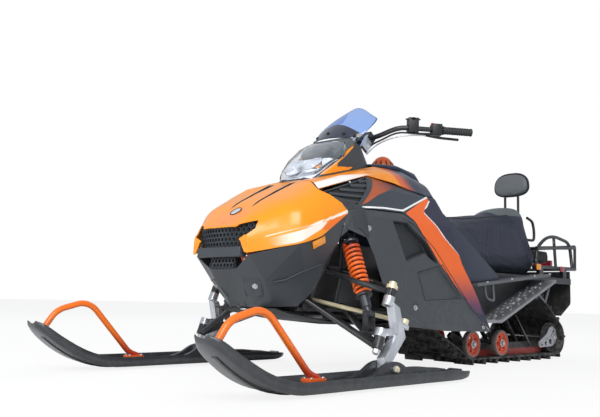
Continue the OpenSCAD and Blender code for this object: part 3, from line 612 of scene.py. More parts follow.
def new_group(name: str, inputs: Sequence[tuple], outputs: Sequence[tuple]) -> tuple[Bench, dict, bpy.types.Node]:
    """Starts a shader node group.

    Args:
        name: Name of the group.
        inputs: Names, types and default values.
        outputs: Names and types.

    Returns:
        The bench, the inputs' sockets by name, and the output node.
    """
    tree = bpy.data.node_groups.new(name, "ShaderNodeTree")
    for label, kind, value in inputs:
        tree.interface.new_socket(label, in_out="INPUT", socket_type="NodeSocket" + kind).default_value = value
    for label, kind in outputs:
        tree.interface.new_socket(label, in_out="OUTPUT", socket_type="NodeSocket" + kind)
    start, end = tree.nodes.new("NodeGroupInput"), tree.nodes.new("NodeGroupOutput")
    return Bench(tree), {s.name: s for s in start.outputs}, end


class Effects:
    """Node groups that several finishes share, each built once."""

    def __init__(self) -> None:
        """Starts with none built."""
        self.built: dict[str, bpy.types.NodeTree] = {}

    def group(self, name: str) -> bpy.types.NodeTree:
        """The group of that name, built at its first use.

        Args:
            name: Name of the group, as in its build method.

        Returns:
            The group's node tree.
        """
        if name not in self.built:
            self.built[name] = getattr(self, "build_" + name)()
        return self.built[name]

    def build_surface(self) -> bpy.types.NodeTree:
        """Mottling, dust from the ground, scuffs and fine grain on a base colour.

        Returns:
            The group's node tree.
        """
        b, i, end = new_group("surface", [
            ("Color", "Color", (0.5, 0.5, 0.5, 1)), ("Roughness", "Float", 0.5), ("Mottle", "Float", 0.1),
            ("Mottle Scale", "Float", 6.0), ("Grain Scale", "Float", 500.0), ("Dust", "Float", 0.0),
            ("Dust Color", "Color", (0.4, 0.38, 0.35, 1)), ("Dust Top", "Float", 0.4), ("Scuff", "Float", 0.0)],
            [("Color", "Color"), ("Roughness", "Float"), ("Height", "Float")])
        coord = b.add("TexCoord").outputs["Object"]
        cloud = b.add("TexNoise", {"Vector": coord, "Scale": i["Mottle Scale"], "Detail": 4.0}).outputs[0]
        swing = b.math("MULTIPLY", b.math("SUBTRACT", cloud, 0.5), i["Mottle"])
        shade = b.math("MULTIPLY_ADD", swing, 2.0, 1.0)
        tone = b.add("HueSaturation", {"Color": i["Color"], "Value": shade}).outputs[0]
        z = b.add("SeparateXYZ", {0: coord}).outputs[2]
        low = b.add("MapRange", {"Value": z, 1: 0.0, 2: i["Dust Top"], 3: 1.0, 4: 0.0}).outputs[0]
        specks = b.add("TexNoise", {"Vector": coord, "Scale": 38.0, "Detail": 6.0, "Roughness": 0.7}).outputs[0]
        film = b.add("MapRange", {"Value": specks, 1: 0.42, 2: 0.68}).outputs[0]
        dust = b.math("MULTIPLY", b.math("MULTIPLY", low, film), i["Dust"])
        stretched = b.add("Mapping", {"Vector": coord, "Scale": (14.0, 14.0, 90.0)}).outputs[0]
        lines = b.add("TexNoise", {"Vector": stretched, "Scale": 3.0, "Detail": 3.0}).outputs[0]
        worn = b.math("MULTIPLY", b.add("MapRange", {"Value": lines, 1: 0.6, 2: 0.72}).outputs[0], i["Scuff"])
        light = b.add("HueSaturation", {"Color": tone, "Value": 1.9}).outputs[0]
        scuffed = b.add("Mix", {0: worn, 6: tone, 7: light}, data_type="RGBA").outputs[2]
        dusty = b.add("Mix", {0: dust, 6: scuffed, 7: i["Dust Color"]}, data_type="RGBA").outputs[2]
        grain = b.add("TexNoise", {"Vector": coord, "Scale": i["Grain Scale"], "Detail": 2.0}).outputs[0]
        rough = b.math("ADD", b.math("MULTIPLY_ADD", swing, 0.6, i["Roughness"]), b.math("MULTIPLY", dust, 0.3))
        b.tree.links.new(dusty, end.inputs["Color"])
        b.tree.links.new(rough, end.inputs["Roughness"])
        b.tree.links.new(b.math("MULTIPLY_ADD", worn, -0.4, grain), end.inputs["Height"])
        return b.tree

    def build_stripe(self) -> bpy.types.NodeTree:
        """Paints a colour that may fade to another wherever a stored distance is above zero.

        Returns:
            The group's node tree.
        """
        b, i, end = new_group("stripe", [
            ("Base", "Color", (0, 0, 0, 1)), ("Near", "Color", (1, 1, 1, 1)), ("Far", "Color", (1, 1, 1, 1)),
            ("Distance", "Float", 0.0), ("Fade", "Float", 0.0), ("Soft", "Float", 0.7)], [("Color", "Color")])
        edge = b.math("MULTIPLY", i["Soft"], -1.0)
        mask = b.add("MapRange", {"Value": i["Distance"], 1: edge, 2: i["Soft"]}).outputs[0]
        paint = b.add("Mix", {0: i["Fade"], 6: i["Near"], 7: i["Far"]}, data_type="RGBA").outputs[2]
        both = b.add("Mix", {0: mask, 6: i["Base"], 7: paint}, data_type="RGBA").outputs[2]
        b.tree.links.new(both, end.inputs["Color"])
        return b.tree

    def build_weave(self) -> bpy.types.NodeTree:
        """Coated cloth: crossed threads with long soft creases.

        Returns:
            The group's node tree.
        """
        b, i, end = new_group("weave", [("Scale", "Float", 700.0), ("Crease", "Float", 1.0)],
                              [("Height", "Float"), ("Mask", "Float")])
        coord = b.add("TexCoord").outputs["Object"]
        thread = {"Vector": coord, "Scale": i["Scale"], "Distortion": 0.4}
        warp = b.add("TexWave", thread, bands_direction="X").outputs[1]
        weft = b.add("TexWave", thread, bands_direction="Z").outputs[1]
        cloth = b.math("MULTIPLY", b.math("MULTIPLY", warp, weft), 0.12)
        lean = {"Vector": coord, "Rotation": (0.0, 0.6, 0.3), "Scale": (5.0, 7.0, 15.0)}
        slanted = b.add("Mapping", lean).outputs[0]
        folds = b.add("TexNoise", {"Vector": slanted, "Scale": 1.0, "Detail": 3.0, "Distortion": 0.8}).outputs[0]
        mask = b.add("MapRange", {"Value": folds, 1: 0.35, 2: 0.7}).outputs[0]
        height = b.math("ADD", cloth, b.math("MULTIPLY", b.math("MULTIPLY", mask, 2.2), i["Crease"]))
        b.tree.links.new(height, end.inputs["Height"])
        b.tree.links.new(mask, end.inputs["Mask"])
        return b.tree


EFFECTS = Effects()


@dataclass(frozen=True)
class Stripe:
    """A painted shape on a panel, stored on its points as a distance and perhaps a fade."""

    mark: str
    near: tuple[float, float, float]
    far: tuple[float, float, float] | None = None
    soft: float = 0.7


@dataclass(frozen=True)
class Finish:
    """A material: its colour, gloss and the effects on it."""

    name: str
    color: tuple[float, float, float]
    rough: float = 0.5
    metal: float = 0.0
    coat: float = 0.0
    mottle: float = 0.08
    mottle_scale: float = 6.0
    grain: float = 500.0
    bump: float = 0.1
    depth: float = 0.001
    dust: float = 0.0
    scuff: float = 0.0
    weave: float = 0.0
    clear: float = 0.0
    sheen: float = 0.0
    stripes: tuple[Stripe, ...] = ()

    def material(self) -> bpy.types.Material:
        """The material, built at its first use.

        Returns:
            A node material.
        """
        found = bpy.data.materials.get(self.name)
        if found:
            return found
        mat = bpy.data.materials.new(self.name)
        mat.use_nodes = True
        mat.node_tree.nodes.clear()
        b = Bench(mat.node_tree)
        color: object = (*self.color, 1.0)
        for stripe in self.stripes:
            distance = b.add("Attribute", attribute_name=stripe.mark).outputs["Fac"]
            values = {"Base": color, "Near": (*stripe.near, 1), "Far": (*(stripe.far or stripe.near), 1),
                      "Distance": distance, "Soft": stripe.soft}
            if stripe.far:
                values["Fade"] = b.add("Attribute", attribute_name=stripe.mark + "_fade").outputs["Fac"]
            color = b.add("Group", values, node_tree=EFFECTS.group("stripe")).outputs[0]
        values = {"Color": color, "Roughness": self.rough, "Mottle": self.mottle, "Mottle Scale": self.mottle_scale,
                  "Grain Scale": self.grain, "Dust": self.dust, "Scuff": self.scuff}
        node = b.add("Group", values, node_tree=EFFECTS.group("surface"))
        height = node.outputs["Height"]
        if self.weave:
            cloth = b.add("Group", {"Crease": self.weave}, node_tree=EFFECTS.group("weave"))
            height = b.math("ADD", height, cloth.outputs["Height"])
        bump = b.add("Bump", {"Height": height, "Strength": self.bump, "Distance": self.depth}).outputs[0]
        shader = b.add("BsdfPrincipled", {"Base Color": node.outputs["Color"], "Roughness": node.outputs["Roughness"],
                                          "Metallic": self.metal, "Coat Weight": self.coat, "Normal": bump,
                                          "Transmission Weight": self.clear, "Sheen Weight": self.sheen,
                                          "Coat Roughness": 0.08})
        out = b.add("OutputMaterial")
        b.tree.links.new(shader.outputs[0], out.inputs[0])
        return mat


# Colours that several finishes share
ORANGE = (0.95, 0.3, 0.002)
CREAM = (0.95, 0.86, 0.72)
WHITE = (0.88, 0.88, 0.88)
NAVY = (0.012, 0.018, 0.045)
SLATE = (0.035, 0.045, 0.06)

# The lip stripe is painted shade: darker red-orange under the ridge crease.
HOOD_PAINT = Finish("hood_paint", ORANGE, 0.3, coat=0.3, mottle=0.03, bump=0.02, stripes=(
    Stripe("patch", ORANGE, (0.95, 0.8, 0.7)), Stripe("lip", (0.9, 0.18, 0.01)), Stripe("ridge", CREAM),
    Stripe("nose", (0.93, 0.27, 0.05), soft=30.0), Stripe("slot", (0.02, 0.018, 0.02))))
PLAIN_ORANGE = Finish("orange_paint", ORANGE, 0.25, coat=0.5, mottle=0.04, bump=0.03)
SHROUD_PAINT = Finish("shroud_paint", NAVY, 0.4, coat=0.1, mottle=0.05, bump=0.03, stripes=(
    Stripe("flame", (0.85, 0.16, 0.004), (0.02, 0.015, 0.04), soft=1.2), Stripe("wave", SLATE),
    Stripe("wedge", (0.85, 0.13, 0.008), (0.09, 0.03, 0.09)), Stripe("rim", (0.035, 0.04, 0.045)),
    Stripe("piping", WHITE, soft=0.9)))
DECK_PAINT = Finish("deck_paint", ORANGE, 0.3, coat=0.3, mottle=0.03, bump=0.02, stripes=(
    Stripe("tail", (0.75, 0.12, 0.01), NAVY, soft=8.0), Stripe("flash", (0.93, 0.9, 0.86), (0.93, 0.4, 0.05))))
POD_PAINT = Finish("pod_paint", (0.045, 0.05, 0.055), 0.4, mottle=0.06, bump=0.05, stripes=(
    Stripe("cheek", (0.1, 0.115, 0.12)), Stripe("arrow", ORANGE)))
DARK_PLASTIC = Finish("dark_grained_plastic", (0.045, 0.052, 0.06), 0.46, mottle=0.1, grain=900, bump=0.25, dust=0.18,
                      scuff=0.08)
FASCIA_PLASTIC = Finish("fascia_plastic", (0.05, 0.056, 0.063), 0.42, mottle=0.08, grain=900, bump=0.22, dust=0.1)
# Side panel plastic; its stripe is near-black painted shade inside the foot recess.
PANEL_PLASTIC = Finish("side_panel_plastic", (0.05, 0.056, 0.063), 0.44, mottle=0.1, grain=900, bump=0.25, dust=0.15,
                       scuff=0.06, stripes=(Stripe("painted_recess_shade", (0.016, 0.018, 0.021), soft=3.0),))
BLACK_PLASTIC = Finish("black_plastic", (0.012, 0.012, 0.014), 0.45, mottle=0.12, grain=700, bump=0.15)
SATIN_BLACK = Finish("satin_black_paint", (0.014, 0.015, 0.018), 0.34, coat=0.25, mottle=0.12, bump=0.08, dust=0.12,
                     scuff=0.15)
FRAME_PAINT = Finish("frame_paint", (0.02, 0.021, 0.024), 0.4, mottle=0.15, bump=0.1, dust=0.3)
NAVY_PLASTIC = Finish("navy_plastic", (0.011, 0.017, 0.042), 0.4, coat=0.1, mottle=0.08, bump=0.06)
SKI_PLASTIC = Finish("ski_plastic", (0.03, 0.033, 0.037), 0.3, coat=0.15, mottle=0.05, grain=420, bump=0.12, dust=0.06,
                     scuff=0.12)
RUBBER = Finish("rubber", (0.014, 0.014, 0.015), 0.7, mottle=0.2, grain=350, bump=0.4, dust=0.45)
TYRE = Finish("wheel_rubber", (0.2, 0.17, 0.15), 0.6, mottle=0.2, grain=350, bump=0.3, dust=0.4)
# The crown stripe is painted shade: darker red at the top of each spring.
SPRING_PAINT = Finish("spring_paint", (0.88, 0.14, 0.008), 0.28, coat=0.4, mottle=0.08, bump=0.05,
                      stripes=(Stripe("crown", (0.42, 0.02, 0.008), soft=45.0),))
# The foot stripe is painted shade: darker red towards the loop's foot by the ski.
LOOP_PLASTIC = Finish("loop_plastic", (0.88, 0.17, 0.008), 0.32, coat=0.2, mottle=0.1, grain=600, bump=0.12, scuff=0.1,
                      stripes=(Stripe("foot", (0.5, 0.04, 0.01), soft=50.0),))
FORGED = Finish("forged_silver", (0.62, 0.64, 0.68), 0.28, metal=0.75, mottle=0.1, grain=300, bump=0.12, scuff=0.1)
STEEL = Finish("bright_steel", (0.6, 0.6, 0.6), 0.26, metal=0.95, mottle=0.1, grain=800, bump=0.06)
GILT = Finish("yellow_zinc", (0.8, 0.72, 0.48), 0.32, metal=0.35, mottle=0.15, mottle_scale=20, grain=400, bump=0.1)
CAST = Finish("cast_aluminium", (0.5, 0.51, 0.54), 0.42, metal=0.85, mottle=0.25, mottle_scale=18, grain=260, bump=0.35,
              dust=0.2)
SHEET_ALLOY = Finish("worn_alloy_sheet", (0.34, 0.34, 0.36), 0.42, metal=0.7, mottle=0.35, mottle_scale=16, grain=300,
                     bump=0.3, dust=0.35, scuff=0.5)
RAIL_GREY = Finish("rail_grey", (0.13, 0.135, 0.145), 0.4, metal=0.3, mottle=0.2, bump=0.12, scuff=0.4)
SKID_RED = Finish("skid_red", (0.36, 0.03, 0.02), 0.4, mottle=0.2, bump=0.12, dust=0.2,
                  stripes=(Stripe("web", (0.03, 0.028, 0.03), soft=2.0),))
WHEEL_RED = Finish("wheel_red", (0.72, 0.07, 0.015), 0.34, mottle=0.12, bump=0.1, dust=0.3)
AMBER = Finish("amber_lens", (0.85, 0.3, 0.01), 0.18, coat=0.8, mottle=0.15, mottle_scale=120, grain=160, bump=0.6)
RED_LENS = Finish("red_lens", (0.3, 0.01, 0.03), 0.18, coat=0.8, mottle=0.15, mottle_scale=120, grain=160, bump=0.6)
CHROME = Finish("lamp_chrome", (0.92, 0.93, 0.95), 0.06, metal=1.0, mottle=0.02, bump=0.02)
# Near-white base colour on the silver lamp housing: a painted reflection.
LAMP_GREY = Finish("lamp_grey", (0.94, 0.96, 0.99), 0.25, metal=0.0, coat=0.4, mottle=0.04, bump=0.03)
BULB = Finish("bulb_glass", (0.95, 0.95, 0.93), 0.1, coat=0.8, mottle=0.02, bump=0.02)
CLEAR = Finish("clear_lens", (0.9, 0.94, 1.0), 0.03, clear=1.0, mottle=0.01, bump=0.01)
BLUE_TINT = Finish("blue_tinted_shield", (0.3, 0.46, 0.86), 0.04, clear=0.92, mottle=0.02, bump=0.01)
SHIELD_BAND = Finish("shield_band", (0.03, 0.035, 0.055), 0.2, coat=0.5, mottle=0.05, bump=0.03)
SEAT_COVER = Finish("seat_cover", (0.011, 0.015, 0.036), 0.5, mottle=0.16, mottle_scale=5, grain=900, bump=0.5,
                    depth=0.003, weave=0.6, sheen=0.03, stripes=(Stripe("grey", (0.1, 0.12, 0.125), soft=2.0),))
PAD_COVER = Finish("pad_cover", (0.115, 0.125, 0.135), 0.42, mottle=0.08, grain=500, bump=0.3, depth=0.001, weave=0.2)
SEAM = Finish("seam_piping", (0.01, 0.011, 0.016), 0.5, mottle=0.1, bump=0.2)
BADGE = Finish("plain_badge", (0.7, 0.7, 0.72), 0.2, metal=0.4, coat=0.5, mottle=0.04, bump=0.03)
CAST_IRON = Finish("engine_metal", (0.16, 0.165, 0.175), 0.5, metal=0.6, mottle=0.2, grain=200, bump=0.4)
DAMPER_GREY = Finish("damper_grey", (0.07, 0.075, 0.085), 0.3, metal=0.5, mottle=0.12, bump=0.08)
GRIP_RUBBER = Finish("grip_rubber", (0.02, 0.021, 0.023), 0.55, mottle=0.1, grain=500, bump=0.3)


# ---------- sub-assemblies ----------
@dataclass
class Assembly:
    """A group of pieces that is built and reported together."""

    body: Body = Body.CHASSIS

    def done(self, obj: bpy.types.Object, finish: Finish, slot: str, body: Body | None = None,
             replaces: Sequence[str] = ()) -> bpy.types.Object:
        """Dresses a piece, sets what it rides on and reports it.

        Args:
            obj: The piece.
            finish: Its finish.
            slot: The record's material slot; not used.
            body: What it rides on, if not the assembly's body.
            replaces: CAD nodes that it stands for.

        Returns:
            The same piece.
        """
        obj.data.materials.clear()
        obj.data.materials.append(finish.material())
        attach(obj, (body or self.body).value)
        if replaces:
            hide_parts(*replaces)
        log.info("%s: %d faces, %s", obj.name, len(obj.data.polygons), finish.name)
        return obj

    def pair(self, obj: bpy.types.Object, finish: Finish, slot: str, replaces: Sequence[str] = ()) -> None:
        """Dresses a left piece and its mirrored right one.

        Args:
            obj: The left piece.
            finish: Their finish.
            slot: The record's material slot; not used.
            replaces: CAD nodes that the pair stands for.
        """
        name = obj.name
        obj.name = name + "_left"
        twin = copied(obj, name + "_right", MIRROR)
        self.done(obj, finish, slot, replaces=replaces)
        self.done(twin, finish, slot)

    def refined(self, node: str, finish: Finish, edge: float = 0.0015, angle: float = 35) -> bpy.types.Object:
        """A finer copy of a CAD node: merged, with soft edges and smooth shading.

        Args:
            node: Name of the node, which the copy stands for.
            finish: Its finish.
            edge: Rounding of sharp edges in metres, or 0.
            angle: Edges flatter than this in degrees are shaded smooth.

        Returns:
            The piece.
        """
        source = frame["nodes"][node]
        obj = bpy.data.objects.new(node + "_finish", source.data.copy())
        bpy.context.scene.collection.objects.link(obj)
        with editing(obj):
            bpy.ops.mesh.remove_doubles(threshold=1e-5)
            bpy.ops.mesh.dissolve_limited(angle_limit=math.radians(0.5))
        if edge:
            soften(obj, edge, 2, max(30, angle - 3))
        smooth(obj, angle)
        return self.done(obj, finish, node, Body(source["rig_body"]), [node])


def bolt(name: str, place: Vector, axis: Vector, size: float = 0.007) -> bpy.types.Object:
    """A hexagon bolt head on a washer.

    Args:
        name: Name of the piece.
        place: Middle of the washer's lower face in metres.
        axis: Direction that the head points to.
        size: Radius of the head in metres.

    Returns:
        The bolt head with its washer.
    """
    head = turned(name, [(size * 0.95, 0.001), (size, 0.0015), (size, size * 0.75), (size * 0.85, size * 0.85)],
                  place, axis, 6)
    washer = [(size * 1.5, 0.0), (size * 1.5, 0.0012), (size * 1.38, 0.002)]
    return joined(name, [head, turned(name + "_washer", washer, place, axis, 20)])


def side_y(x: float, z: float) -> float:
    """Half width of the body side at a place in the side view.

    Args:
        x: Place along the body in millimetres.
        z: Height in millimetres.

    Returns:
        Half width in millimetres, which narrows upwards and towards the nose.
    """
    if z > 720:
        y = 285 - (z - 720) * 1.015
    elif z > 600:
        y = 335 - (z - 600) * 0.417
    else:
        y = 335 + (600 - z) * 0.055
    return y * (1 - 0.00085 * max(0.0, x + 130))


def side_rows(low: Sequence[Point], high: Sequence[Point], rows: int, count: int,
              sink: Distance | None = None) -> list[list[Vector]]:
    """Rows on the left body side between two edges given in millimetres.

    Args:
        low: Lower edge as X and Z pairs.
        high: Upper edge as X and Z pairs.
        rows: Number of stretches between the edges.
        count: Number of points to each stretch of an edge.
        sink: Depth in millimetres below the side at a place.

    Returns:
        Rows of points in metres.
    """
    a, b = along(low, count), along(high, count)
    out = []
    for i in range(rows + 1):
        row = []
        for p, q in zip(a, b):
            m = mix(p, q, i / rows)
            depth = sink(Vector((m.x, 0, m.y))) if sink else 0.0
            row.append(at(m.x, side_y(m.x, m.y) - depth, m.y))
        out.append(row)
    return out


def arch(x: float, crown: float, shoulder: float, side_top: float, half: float, edge: float,
         steps: int = 45) -> list[Vector]:
    """Points across the body at one station, from the right edge to the left.

    Args:
        x: Place of the station in millimetres.
        crown: Height of the middle.
        shoulder: Half width at which the crown's curve starts.
        side_top: Height at which the side's curve starts.
        half: Half width of the edges.
        edge: Height of the edges.
        steps: Number of stretches on each side.

    Returns:
        Points in metres.
    """
    half_row = []
    for s in range(steps + 1):
        t = s / steps
        w = ((1 - t) ** 3, 3 * t * (1 - t) ** 2, 3 * t * t * (1 - t), t**3)
        y = half * w[0] + half * w[1] + shoulder * w[2]
        z = edge * w[0] + side_top * w[1] + crown * w[2] + crown * w[3]
        half_row.append((y, z))
    left = [at(x, y, z) for y, z in reversed(half_row)]
    return [at(x, -y, z) for y, z in half_row] + left[1:]


@dataclass
class Hood(Assembly):
    """Orange hood with its stripes, slots, cheeks, badge and lip."""

    stations: tuple = ((112, 691, 256, 691, 301, 508), (145, 673, 248, 672, 296, 494), (200, 643, 228, 640, 284, 476),
                       (255, 603, 185, 604, 226, 460), (300, 570, 150, 574, 180, 447), (336, 538, 140, 538, 152, 438))
    rear: tuple = ((-31, 300, 606), (12, 297, 640), (56, 282, 664), (90, 252, 683), (56, 180, 723), (16, 90, 742),
                   (-5.4, 0, 746))

    def build(self) -> None:
        """Builds the hood's pieces."""
        half = along(self.rear, 15)[::2]
        rear = [at(p.x, -p.y, p.z) for p in half] + [at(p.x, p.y, p.z) for p in reversed(half[:-1])]
        front = smooth_rows([arch(*s) for s in self.stations], 8)
        blend = [[mix(a, b, t / 10) for a, b in zip(rear, front[0])] for t in range(10)]
        hood = skin("hood_shell", blend + front, Vector((1, 0, 1)), 0.004, 0.0012)
        notch = [(92, 530), (100, 541), (161, 556), (163, 526), (148, 503), (107, 488), (98, 500)]
        for s in (-1, 1):
            bored(hood, plate("notch_cutter", [at(280, s * y, z) for y, z in notch], Vector((0.07, 0, 0)), 0))
            slot = [(36, 74), (36, 50), (205, 56), (232, 61), (205, 66)]
            bored(hood, plate("slot_cutter", [at(x, s * y, 560) for x, y in slot], Vector((0, 0, 0.19)), 0))
        self.paint(hood)
        self.done(hood, HOOD_PAINT, "hood", replaces=["hood"])
        well = [[at(x, y, z) for x, z in ((28, 702), (60, 692), (112, 668), (160, 646), (205, 618), (240, 594))]
                for y in (46, 62, 78)]
        self.pair(skin("slot_floor", well, UP, 0.002, 0), BLACK_PLASTIC, "nose_grille")
        self.cheeks()
        badge = turned("badge_disc", [(0.021, 0.0), (0.021, 0.0015), (0.019, 0.003), (0.006, 0.0036)],
                       at(262, 0, 599.5), Vector((0.64, 0, 0.77)), 40)
        self.done(badge, BADGE, "hood")
        lean = Matrix.Rotation(math.radians(39.7), 3, "Y")
        rim = hoop(40, lambda c, s: at(262.4, 0, 600) + lean @ Vector((0.0225 * c, 0.0225 * s, 0.001)))
        self.done(tube("badge_ring", rim, 0.0017, 3, closed=True), BLACK_PLASTIC, "nose_grille")

    def paint(self, hood: bpy.types.Object) -> None:
        """Stores the hood's stripes on its points, among them the lip stripe, which is painted shade under the ridge
        crease.

        Args:
            hood: The hood's shell.
        """
        patch = [(287, 487), (115, 556), (74, 570), (115, 533), (201, 482), (264, 463)]
        ridge = [(290, 497), (180, 541), (70, 580), (-36, 621), (-36, 608), (70, 569), (180, 533), (284, 494)]
        # Painted shade under the ridge crease.
        lip = [(72, 569), (-36, 607), (-36, 588), (60, 536), (115, 527), (115, 534)]
        marked(hood, "patch", lambda p: inside(patch, p.x, p.z))
        marked(hood, "patch_fade", lambda p: 1 - ramp(p.x, 205, 285))
        marked(hood, "slot", lambda p: inside([(26, 42), (30, 80), (216, 68), (246, 61), (216, 54)], p.x, abs(p.y)))
        marked(hood, "ridge", lambda p: inside(ridge, p.x, p.z))
        marked(hood, "lip", lambda p: inside(lip, p.x, p.z))
        marked(hood, "nose", lambda p: 95 - math.hypot(p.x - 320, p.y * 1.2, p.z - 560))

    def cheeks(self) -> None:
        """Stepped orange cheeks on both sides of the nose opening."""
        outline = [(151, 440), (149.5, 470), (147.5, 494), (140, 503), (107, 488), (118, 479), (126, 462), (140, 440)]
        cheek = plate("nose_cheek", [at(331, y, z) for y, z in outline], Vector((0.006, 0, 0)), 0.0015)
        self.pair(cheek, PLAIN_ORANGE, "hood")
        lip = tube("nose_lip", [at(334.5, y, 535.8 - 0.0000000115 * y**4) for y in range(-92, 93, 8)], 0.0036, 4)
        self.done(lip, PLAIN_ORANGE, "hood")


@dataclass
class Nose(Assembly):
    """Grilles, bar, fascia and its fittings."""

    cell: float = 19.0
    bar_top: float = 430.0

    def build(self) -> None:
        """Builds the nose's pieces."""
        self.mesh_grille("upper_grille", 466, 553, 158, ["nose_grille"])
        self.mesh_grille("lower_grille", 391, 424, 70, [])
        self.backing()
        self.refined("nose_bar", DARK_PLASTIC, 0.004)
        self.refined("front_fascia", FASCIA_PLASTIC, 0.002, 12)
        self.refined("belly_pan", BLACK_PLASTIC, 0.001)
        self.refined("side_reflectors", AMBER, 0.0015)
        self.refined("front_frame", FRAME_PAINT, 0.0, 40)
        self.refined("engine", CAST_IRON, 0.01)
        for s, side in SIDES:
            piece = bolt(f"fascia_bolt_{side}_0", at(252, s * 108, 325), Vector((0.68, s * 0.4, -0.62)), 0.0075)
            self.done(piece, STEEL, "dampers")
        self.recess()
        self.tow_eye()

    def mesh_grille(self, name: str, low: float, high: float, half: float, replaces: Sequence[str]) -> None:
        """A honeycomb panel of hexagonal rings, each a copy of the first.

        Args:
            name: Name of the panel.
            low: Height of its lower edge in millimetres.
            high: Height of its upper edge.
            half: Half of its width.
            replaces: CAD nodes that it stands for.
        """
        c = self.cell
        upper = low > self.bar_top
        turn = Matrix.Rotation(math.radians(90), 4, "Y") @ Matrix.Rotation(math.radians(30), 4, "Z")
        cells, row, z = [], 0, low + c * 0.35
        first = self.ring_cell()
        while z < high - c * 0.2:
            y = -half + c * 0.5 + (c * 0.5 if row % 2 else 0)
            while y < half - c * 0.3:
                above_lip = z > 535 - 0.0000000115 * y**4 and abs(y) < 96
                if not (upper and (above_lip or abs(y) > 140 and z < 500)):
                    x = 331 - 34 * (y / 138) ** 2 if upper else 318
                    cells.append(copied(first, "cell_copy", Matrix.Translation(at(x, y, z)) @ turn))
                y += c
            z += c * 0.866
            row += 1
        bpy.data.objects.remove(first)
        self.done(joined(name, cells), DARK_PLASTIC, "nose_grille", replaces=replaces)

    def ring_cell(self) -> bpy.types.Object:
        """One hexagonal ring.

        Returns:
            The ring, lying flat at the origin.
        """
        take()
        bpy.ops.mesh.primitive_circle_add(vertices=6, radius=self.cell * 0.00058, fill_type="NGON")
        cell = made("cell")
        with editing(cell):
            bpy.ops.mesh.inset(thickness=0.0024)
            bpy.ops.mesh.delete(type="FACE")
        return worked(cell, "SOLIDIFY", thickness=0.005, offset=0)

    def backing(self) -> None:
        """Dark plates behind the grilles."""
        rows = [[at(319 - 34 * (y / 138) ** 2, y, z - 0.00000003 * y**4) for y in range(-156, 157, 12)]
                for z in range(463, 556, 13)]
        self.done(skin("grille_back", rows, AHEAD, 0.002, 0), BLACK_PLASTIC, "nose_grille")
        self.done(block("lower_back", at(309, -72, 389), at(313, 72, 425), 0.001), BLACK_PLASTIC, "nose_grille")

    def recess(self) -> None:
        """Raised frames and ridges on the fascia's front."""
        ridges = {"crease": [(217, 165, 342), (183, 186, 349), (135, 229, 381), (62, 254, 411)],
                  "frame": [(286, 81, 347), (255, 138, 348), (217, 114, 288), (242, 50, 286), (286, 81, 347)],
                  "seam": [(290, 168, 431), (241, 152, 342)], "keel": [(313, 37, 384), (213, 19, 251)]}
        for name, path in ridges.items():
            radius = 0.0026 if name == "crease" else 0.0016
            ridge = tube("fascia_" + name, [at(*p) for p in rounded(path, 12, 3)], radius, 3)
            self.pair(ridge, FASCIA_PLASTIC, "front_fascia")

    def tow_eye(self) -> None:
        """Small steel eye under the nose."""
        rim = hoop(24, lambda c, s: at(205 + 13 * c, 13 * s, 243))
        self.done(tube("tow_eye", rim, 0.0035, 4, closed=True), STEEL, "dampers")


